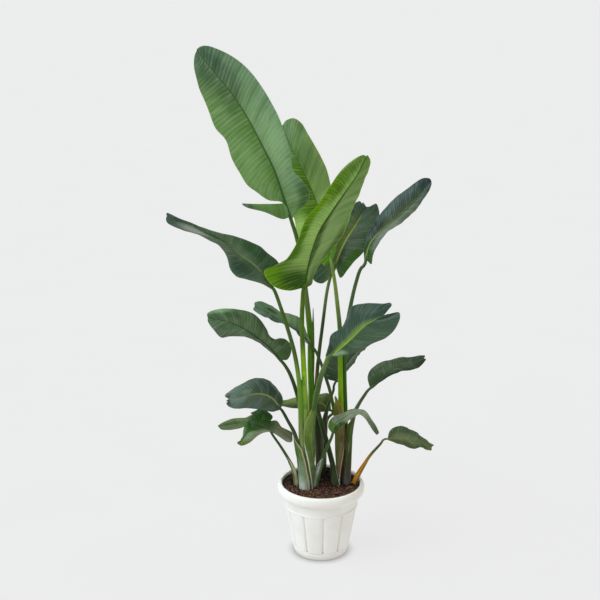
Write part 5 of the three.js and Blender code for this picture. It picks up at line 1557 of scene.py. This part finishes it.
# %% [markdown]
# ## Sheaths and rolled new leaves
#
# At its foot each stalk widens into a sheath that clasps the younger stalks inside it. It is pale at the
# soil, partly from a waxy bloom and partly as a painted sheen, has margins of its own tone and dries
# brown from them when it is old. Its tones are partly painted light and shade.

# %% Sheath finish
def sheath_finish(name, tones, changes, left_margin, right_margin, flank, flecks=0.3, bloom=0.23):
    """Tones from the foot up, a tone for the right flank and one for each margin, all with streaks."""
    made, tree, shader = new_finish(name)
    place = add_node(tree, "TexCoord", {}).outputs["Object"]
    height = add_node(tree, "SeparateXYZ", {"Vector": place}).outputs["Z"]
    on_sheath = add_node(tree, "UVMap", {}, uv_map="sheath").outputs["UV"]
    across = add_node(tree, "SeparateXYZ", {"Vector": on_sheath}).outputs["X"]
    turned = calculate(tree, "MULTIPLY", across, 18.0)
    raised = calculate(tree, "MULTIPLY", height, 8.0)
    streak_place = add_node(tree, "CombineXYZ", {"X": turned, "Y": raised})
    streaks = speckle(tree, streak_place.outputs[0], 1.3, 4.0, 0.65)
    ribs = calculate(tree, "SINE", calculate(tree, "MULTIPLY_ADD", across, 130.0, streaks))
    cloud = speckle(tree, place, 30.0, 3.0)
    # Tones by height and the flank tone: the sheath's own colour, partly painted light and shade.
    tone = colour(*tones[0])
    for change, next_tone in zip(changes, tones[1:]):
        tone = mix(tree, fade(tree, height, change - 0.025, change + 0.025), tone, colour(*next_tone))
    tone = mix(tree, fade(tree, across, *flank[4:], 0.0, flank[3]), tone, colour(*flank[:3]))
    deep = mix(tree, 1.0, tone, (0.42, 0.5, 0.34, 1.0), "MULTIPLY")
    pale = mix(tree, 0.4, tone, colour(196, 204, 176))
    tone = mix(tree, fade(tree, streaks, 0.52, 0.32, 0.0, 0.8), tone, deep)
    tone = mix(tree, fade(tree, streaks, 0.52, 0.7, 0.0, 0.85), tone, pale)
    tone = mix(tree, fade(tree, cloud, 0.45, 0.65, 0.0, 0.55), tone, deep)
    tone = mix(tree, fade(tree, ribs, 0.2, 1.0, 0.0, 0.22), tone, deep)
    brown = fade(tree, speckle(tree, place, 130.0, 3.0, 0.7), 0.6, 0.72, 0.0, flecks)
    tone = mix(tree, brown, tone, colour(96, 66, 40))
    for start, end, margin in ((0.1, 0.03, left_margin), (0.9, 0.97, right_margin)):
        bloomed = fade(tree, height, bloom + 0.02, bloom - 0.02, 0.0, 0.9)
        edge = mix(tree, bloomed, colour(*margin[:3]), colour(214, 222, 216))
        tone = mix(tree, fade(tree, across, start, end, 0.0, margin[3]), tone, edge)
    tree.links.new(tone, shader.inputs["Base Color"])
    shader.inputs["Specular IOR Level"].default_value = 0.15
    tree.links.new(fade(tree, streaks, 0.3, 0.7, 0.4, 0.6), shader.inputs["Roughness"])
    set_bump(tree, shader, calculate(tree, "MULTIPLY_ADD", ribs, 0.12, streaks), 0.5, 0.0012)
    return made


print("ready: sheath_finish")

# %% [markdown]
# A sheath could be a cut-open tube, but a flat grid wrapped part of the way round the stalk's line
# gives both margins and the tip a clean edge. The wrap narrows towards the tip, and Solidify gives it
# its thickness. Turns are in degrees: 0 faces the front, and positive is to the right.

# %% Wrap a sheath
SHEATH_COLUMNS = 28
SHEATH_ROW = 0.004
SHEATH_SKIN = 0.0011
SHEATH_CLOSING = 0.42


def add_sheath(name, slot_name, points, radii, turns, tip_turn, look,
               closing=SHEATH_CLOSING, foot_turns=None):
    """Wraps a sheath round a line, between two turns at its foot and closing to one turn at its tip."""
    centres, radii_along = stalk_line(points, radii, SHEATH_ROW)
    rows = len(centres)
    first, second = steady_frames(centres)
    bpy.ops.object.select_all(action="DESELECT")
    bpy.ops.mesh.primitive_grid_add(x_subdivisions=SHEATH_COLUMNS, y_subdivisions=rows - 1, size=2)
    piece = bpy.context.object
    piece.name = piece.data.name = name
    flat = np.array([vertex.co for vertex in piece.data.vertices])
    across = (flat[:, 0] + 1) / 2
    row = np.rint((flat[:, 1] + 1) / 2 * (rows - 1)).astype(int)
    share = row / (rows - 1)
    opened = 0.05 + 0.95 * (1 - np.clip(1 + (share - 1) / closing, 0, 1) ** 1.7)
    low_left, low_right = foot_turns or turns
    opening = np.clip(share / 0.6, 0, 1)
    left = low_left + (turns[0] - low_left) * opening
    right = low_right + (turns[1] - low_right) * opening
    turn = np.radians(tip_turn + (left + (right - left) * across - tip_turn) * opened)
    lip = 1 + 0.05 * np.abs(2 * across - 1) ** 8 + 0.02 * np.sin(across * 17 + row * 0.11)
    radius = radii_along[row] * lip
    placed = (centres[row] + first[row] * (radius * np.cos(turn))[:, None]
              + second[row] * (radius * np.sin(turn))[:, None])
    piece.data.vertices.foreach_set("co", placed.ravel())
    piece.data.uv_layers[0].name = "sheath"
    skin = piece.modifiers.new("skin", "SOLIDIFY")
    skin.thickness = SHEATH_SKIN
    skin.offset = 0
    bpy.ops.object.modifier_apply(modifier=skin.name)
    bpy.ops.object.shade_smooth_by_angle(angle=math.radians(STALK_SMOOTH_ANGLE))
    finish_piece(piece, sheath_finish(f"{name}_finish", **look), slot_name)


print("a sheath has", SHEATH_COLUMNS + 1, "columns")

# %% Left shoot's sheaths
add_sheath("lower_left_leaf_sheath", "green_stalk",
           [(-0.043, -0.0235, 0.193), (-0.0445, -0.0246, 0.222), (-0.049, -0.0265, 0.254),
            (-0.0525, -0.031, 0.285), (-0.0595, -0.038, 0.316), (-0.065, -0.044, 0.342),
            (-0.069, -0.049, 0.362)],
           radii=(0.0163, 0.0165, 0.0146, 0.0133, 0.0115, 0.009, 0.0068), turns=(-150, 38), tip_turn=-60,
           foot_turns=(-150, 46), closing=0.25,
           look=dict(
               tones=((228, 238, 236), (134, 158, 132), (74, 104, 48)), changes=(0.225, 0.285),
               left_margin=(110, 134, 90, 0.4), right_margin=(214, 206, 158, 0.95),
               flank=(150, 168, 110, 0.5, 0.6, 0.9), flecks=0.2))
add_sheath("inner_left_sheath", "green_stalk",
           [(-0.03, -0.026, 0.196), (-0.035, -0.028, 0.26), (-0.0425, -0.0315, 0.3),
            (-0.048, -0.037, 0.33), (-0.0525, -0.044, 0.362)],
           radii=(0.0065, 0.0075, 0.0085, 0.0085, 0.006), turns=(-100, 36), tip_turn=-20,
           foot_turns=(-100, 62),
           look=dict(
               tones=((130, 132, 86), (118, 134, 54), (104, 124, 50)), changes=(0.225, 0.3),
               left_margin=(112, 120, 60, 0.6), right_margin=(204, 212, 206, 0.95),
               flank=(140, 150, 96, 0.5, 0.5, 0.8), flecks=0.3, bloom=0.4))
add_sheath("middle_right_leaf_sheath", "green_stalk",
           [(-0.0305, -0.026, 0.194), (-0.0305, -0.031, 0.239), (-0.0305, -0.038, 0.295),
            (-0.033, -0.046, 0.348), (-0.0325, -0.051, 0.385), (-0.0275, -0.0555, 0.416),
            (-0.0215, -0.06, 0.439), (-0.019, -0.064, 0.456)],
           radii=(0.0095, 0.011, 0.0126, 0.0145, 0.0152, 0.0116, 0.007, 0.0052), turns=(-76, 172),
           tip_turn=172, foot_turns=(40, 172), closing=0.03,
           look=dict(
               tones=((150, 160, 124), (96, 122, 60), (100, 126, 50)), changes=(0.225, 0.3),
               left_margin=(168, 176, 104, 0.95), right_margin=(110, 130, 70, 0.4),
               flank=(56, 82, 40, 0.9, 0.4, 0.6), flecks=0.3, bloom=0.33))
add_sheath("bright_front_leaf_sheath", "green_stalk",
           [(-0.041, -0.038, 0.345), (-0.043, -0.042, 0.391), (-0.0435, -0.047, 0.436),
            (-0.0455, -0.053, 0.481), (-0.047, -0.0585, 0.517), (-0.0475, -0.061, 0.54)],
           radii=(0.0108, 0.0108, 0.0104, 0.0096, 0.0088, 0.0078), turns=(-170, 60), tip_turn=5,
           closing=0.25,
           look=dict(
               tones=((108, 140, 60), (112, 156, 54), (132, 186, 50)), changes=(0.4, 0.47),
               left_margin=(74, 108, 74, 0.6), right_margin=(220, 222, 140, 0.95),
               flank=(140, 176, 56, 0.6, 0.6, 0.85), flecks=0.6))

# %% Right shoot's sheaths
add_sheath("tall_back_leaf_sheath", "green_stalk",
           [(0.0565, -0.001, 0.194), (0.0545, -0.003, 0.226), (0.0522, -0.003, 0.253),
            (0.0508, -0.002, 0.28), (0.0502, -0.001, 0.306), (0.0498, 0.002, 0.358),
            (0.0505, 0.006, 0.4)],
           radii=(0.0082, 0.0098, 0.0108, 0.0112, 0.0118, 0.0122, 0.0105), turns=(-165, 84), tip_turn=60,
           foot_turns=(-165, -50), closing=0.1,
           look=dict(
               tones=((120, 104, 96), (92, 88, 56), (86, 96, 46), (72, 88, 34)),
               changes=(0.225, 0.28, 0.34), left_margin=(110, 100, 66, 0.7),
               right_margin=(184, 136, 116, 0.9), flank=(112, 100, 66, 0.6, 0.5, 0.8), flecks=0.6))
add_sheath("lower_right_leaf_sheath", "green_stalk",
           [(0.0705, 0.003, 0.192), (0.071, 0.003, 0.221), (0.072, 0.002, 0.257), (0.0728, 0.001, 0.29),
            (0.0748, 0.001, 0.326), (0.0762, 0.0015, 0.352), (0.08, 0.003, 0.372),
            (0.0862, 0.007, 0.392)],
           radii=(0.0098, 0.0104, 0.0108, 0.0105, 0.0098, 0.0092, 0.0074, 0.0052), turns=(-84, 160),
           tip_turn=30, foot_turns=(-110, 160), closing=0.12,
           look=dict(
               tones=((120, 116, 120), (84, 78, 70), (62, 70, 32), (76, 96, 34)),
               changes=(0.218, 0.248, 0.31), left_margin=(150, 136, 100, 0.8),
               right_margin=(120, 120, 90, 0.6), flank=(70, 92, 36, 0.4, 0.5, 0.8), flecks=0.4))
add_sheath("dry_right_sheath", "green_stalk",
           [(0.0492, -0.002, 0.28), (0.048, -0.004, 0.34), (0.0468, -0.005, 0.38),
            (0.0455, -0.006, 0.409), (0.0435, -0.007, 0.432), (0.036, -0.008, 0.464)],
           radii=(0.006, 0.0086, 0.0104, 0.012, 0.0096, 0.003), turns=(-120, 84), tip_turn=30,
           closing=0.3,
           look=dict(
               tones=((92, 92, 42), (112, 116, 30), (120, 128, 34)), changes=(0.375, 0.425),
               left_margin=(120, 146, 30, 0.9), right_margin=(188, 128, 62, 0.95),
               flank=(112, 96, 42, 0.85, 0.45, 0.62), flecks=0.5))

# %% Feet of the single stalks
# The drooping leaf's sheath is nearly white low down and on its left: a waxy bloom, with a painted
# highlight on its left side.
add_sheath("drooping_leaf_sheath", "green_stalk",
           [(-0.0185, -0.014, 0.189), (-0.0125, -0.0165, 0.227), (-0.005, -0.0215, 0.259),
            (0.003, -0.028, 0.291)],
           radii=(0.0084, 0.0092, 0.0082, 0.0062), turns=(-100, 110), tip_turn=10,
           look=dict(
               tones=((240, 248, 244), (222, 236, 226), (104, 130, 88)), changes=(0.225, 0.27),
               left_margin=(246, 250, 244, 0.95), right_margin=(110, 132, 84, 0.6),
               flank=(72, 104, 48, 0.92, 0.38, 0.6), flecks=0.15))
add_sheath("slate_leaf_sheath", "green_stalk",
           [(0.046, -0.004, 0.188), (0.04, -0.001, 0.211), (0.034, 0.004, 0.243), (0.0285, 0.011, 0.275),
            (0.023, 0.017, 0.3)],
           radii=(0.0112, 0.0115, 0.0084, 0.0064, 0.0054), turns=(-120, 52), tip_turn=20,
           look=dict(
               tones=((112, 120, 96), (56, 80, 34), (50, 80, 30)), changes=(0.21, 0.25),
               left_margin=(90, 100, 70, 0.6), right_margin=(206, 168, 128, 0.95),
               flank=(40, 62, 26, 0.7, 0.4, 0.7), flecks=0.4))
add_sheath("front_left_leaf_sheath", "green_stalk",
           [(-0.067, -0.008, 0.191), (-0.071, -0.014, 0.235), (-0.081, -0.0225, 0.268),
            (-0.093, -0.03, 0.294)],
           radii=(0.0066, 0.0072, 0.006, 0.0046), turns=(-110, 42), tip_turn=10,
           look=dict(
               tones=((136, 140, 104), (106, 124, 76), (74, 98, 54)), changes=(0.22, 0.26),
               left_margin=(110, 124, 84, 0.5), right_margin=(236, 228, 190, 0.95),
               flank=(222, 216, 172, 0.9, 0.5, 0.72), flecks=0.2, bloom=0.1))
add_sheath("low_right_leaf_sheath", "green_stalk",
           [(0.0905, 0.006, 0.193), (0.101, 0.003, 0.222), (0.1165, 0, 0.2535), (0.1385, -0.002, 0.289)],
           radii=(0.0078, 0.0068, 0.0052, 0.0034), turns=(-150, 60), tip_turn=-30,
           look=dict(
               tones=((228, 150, 44), (232, 150, 26), (196, 130, 30)), changes=(0.21, 0.26),
               left_margin=(240, 186, 96, 0.9), right_margin=(120, 110, 40, 0.8),
               flank=(116, 112, 44, 0.9, 0.6, 0.85), flecks=0.3, bloom=0.1))

# %% [markdown]
# New leaves come up rolled as thin spikes, and the oldest sheaths dry and close to a point. Both are made
# like a stalk that ends in a point.

# %% Rolled new leaves and old sheaths
def add_spike(name, slot_name, points, radii, look):
    """A rolled new leaf or an old dry sheath that has closed to a point."""
    centres, radii_along = stalk_line(points, radii)
    piece = rolled_grid(name, centres, radii_along)
    finish_piece(piece, stalk_finish(f"{name}_finish", **look), slot_name)


BROWN_LOOK = dict(
    tones=((58, 46, 34), (56, 50, 32), (66, 66, 34), (74, 62, 38)), changes=(0.24, 0.29, 0.34),
    stripe=(110, 84, 52, 0.6))
add_spike("rolled_new_leaf", "green_stalk",
          [(-0.027, 0.006, 0.48), (-0.024, 0.014, 0.56), (-0.023, 0.018, 0.64), (-0.023, 0.02, 0.701)],
          radii=(0.006, 0.005, 0.0032, 0.0008),
          look=dict(
              tones=((66, 96, 30), (72, 104, 36), (84, 116, 50), (110, 130, 80)),
              changes=(0.52, 0.6, 0.68)))
add_spike("old_left_sheath", "green_stalk",
          [(-0.03, -0.008, 0.3), (-0.022, 0, 0.4), (-0.015, 0.005, 0.48), (-0.014, 0.006, 0.552)],
          radii=(0.0065, 0.006, 0.0042, 0.001),
          look=dict(
              tones=((70, 86, 40), (84, 92, 44), (112, 84, 50), (128, 92, 56)),
              changes=(0.38, 0.46, 0.52), stripe=(70, 46, 30, 0.7)))
add_spike("brown_back_sheath", "brown_stalk",
          [(-0.002, 0.076, 0.195), (-0.006, 0.0775, 0.25), (-0.008, 0.078, 0.3), (-0.01, 0.076, 0.366)],
          radii=(0.0092, 0.0088, 0.0066, 0.0012), look=BROWN_LOOK)
add_spike("second_brown_sheath", "brown_stalk",
          [(0.008, 0.08, 0.195), (0.009, 0.0815, 0.25), (0.0085, 0.082, 0.295), (0.006, 0.08, 0.35)],
          radii=(0.0082, 0.0076, 0.0058, 0.0012), look=BROWN_LOOK)
add_spike("dark_back_sheath", "brown_stalk",
          [(-0.002, 0.04, 0.19), (-0.0035, 0.04, 0.26), (-0.006, 0.04, 0.305), (-0.011, 0.04, 0.348),
           (-0.0135, 0.04, 0.38), (-0.0135, 0.04, 0.412), (-0.014, 0.041, 0.45)],
          radii=(0.011, 0.012, 0.0118, 0.0102, 0.0094, 0.0088, 0.001),
          look=dict(
              tones=((56, 48, 36), (58, 58, 36), (48, 62, 32), (40, 60, 26)), changes=(0.25, 0.33, 0.39),
              stripe=(104, 76, 58, 0.5)))
add_spike("olive_back_sheath", "brown_stalk",
          [(0.006, 0.07, 0.192), (0.009, 0.068, 0.26), (0.013, 0.066, 0.329), (0.012, 0.066, 0.36),
           (0.0155, 0.066, 0.38), (0.023, 0.066, 0.418)],
          radii=(0.006, 0.006, 0.0056, 0.0066, 0.0044, 0.0008),
          look=dict(
              tones=((70, 60, 44), (80, 72, 44), (86, 88, 56), (96, 104, 66)), changes=(0.26, 0.32, 0.39),
              stripe=(150, 160, 130, 0.7)))
add_spike("tan_right_sheath", "green_stalk",
          [(0.064, 0.008, 0.196), (0.056, 0.006, 0.32), (0.048, 0.008, 0.39), (0.036, 0.01, 0.452)],
          radii=(0.0062, 0.006, 0.0045, 0.001),
          look=dict(
              tones=((100, 84, 50), (110, 104, 44), (166, 132, 60), (190, 120, 60)),
              changes=(0.26, 0.36, 0.42)))
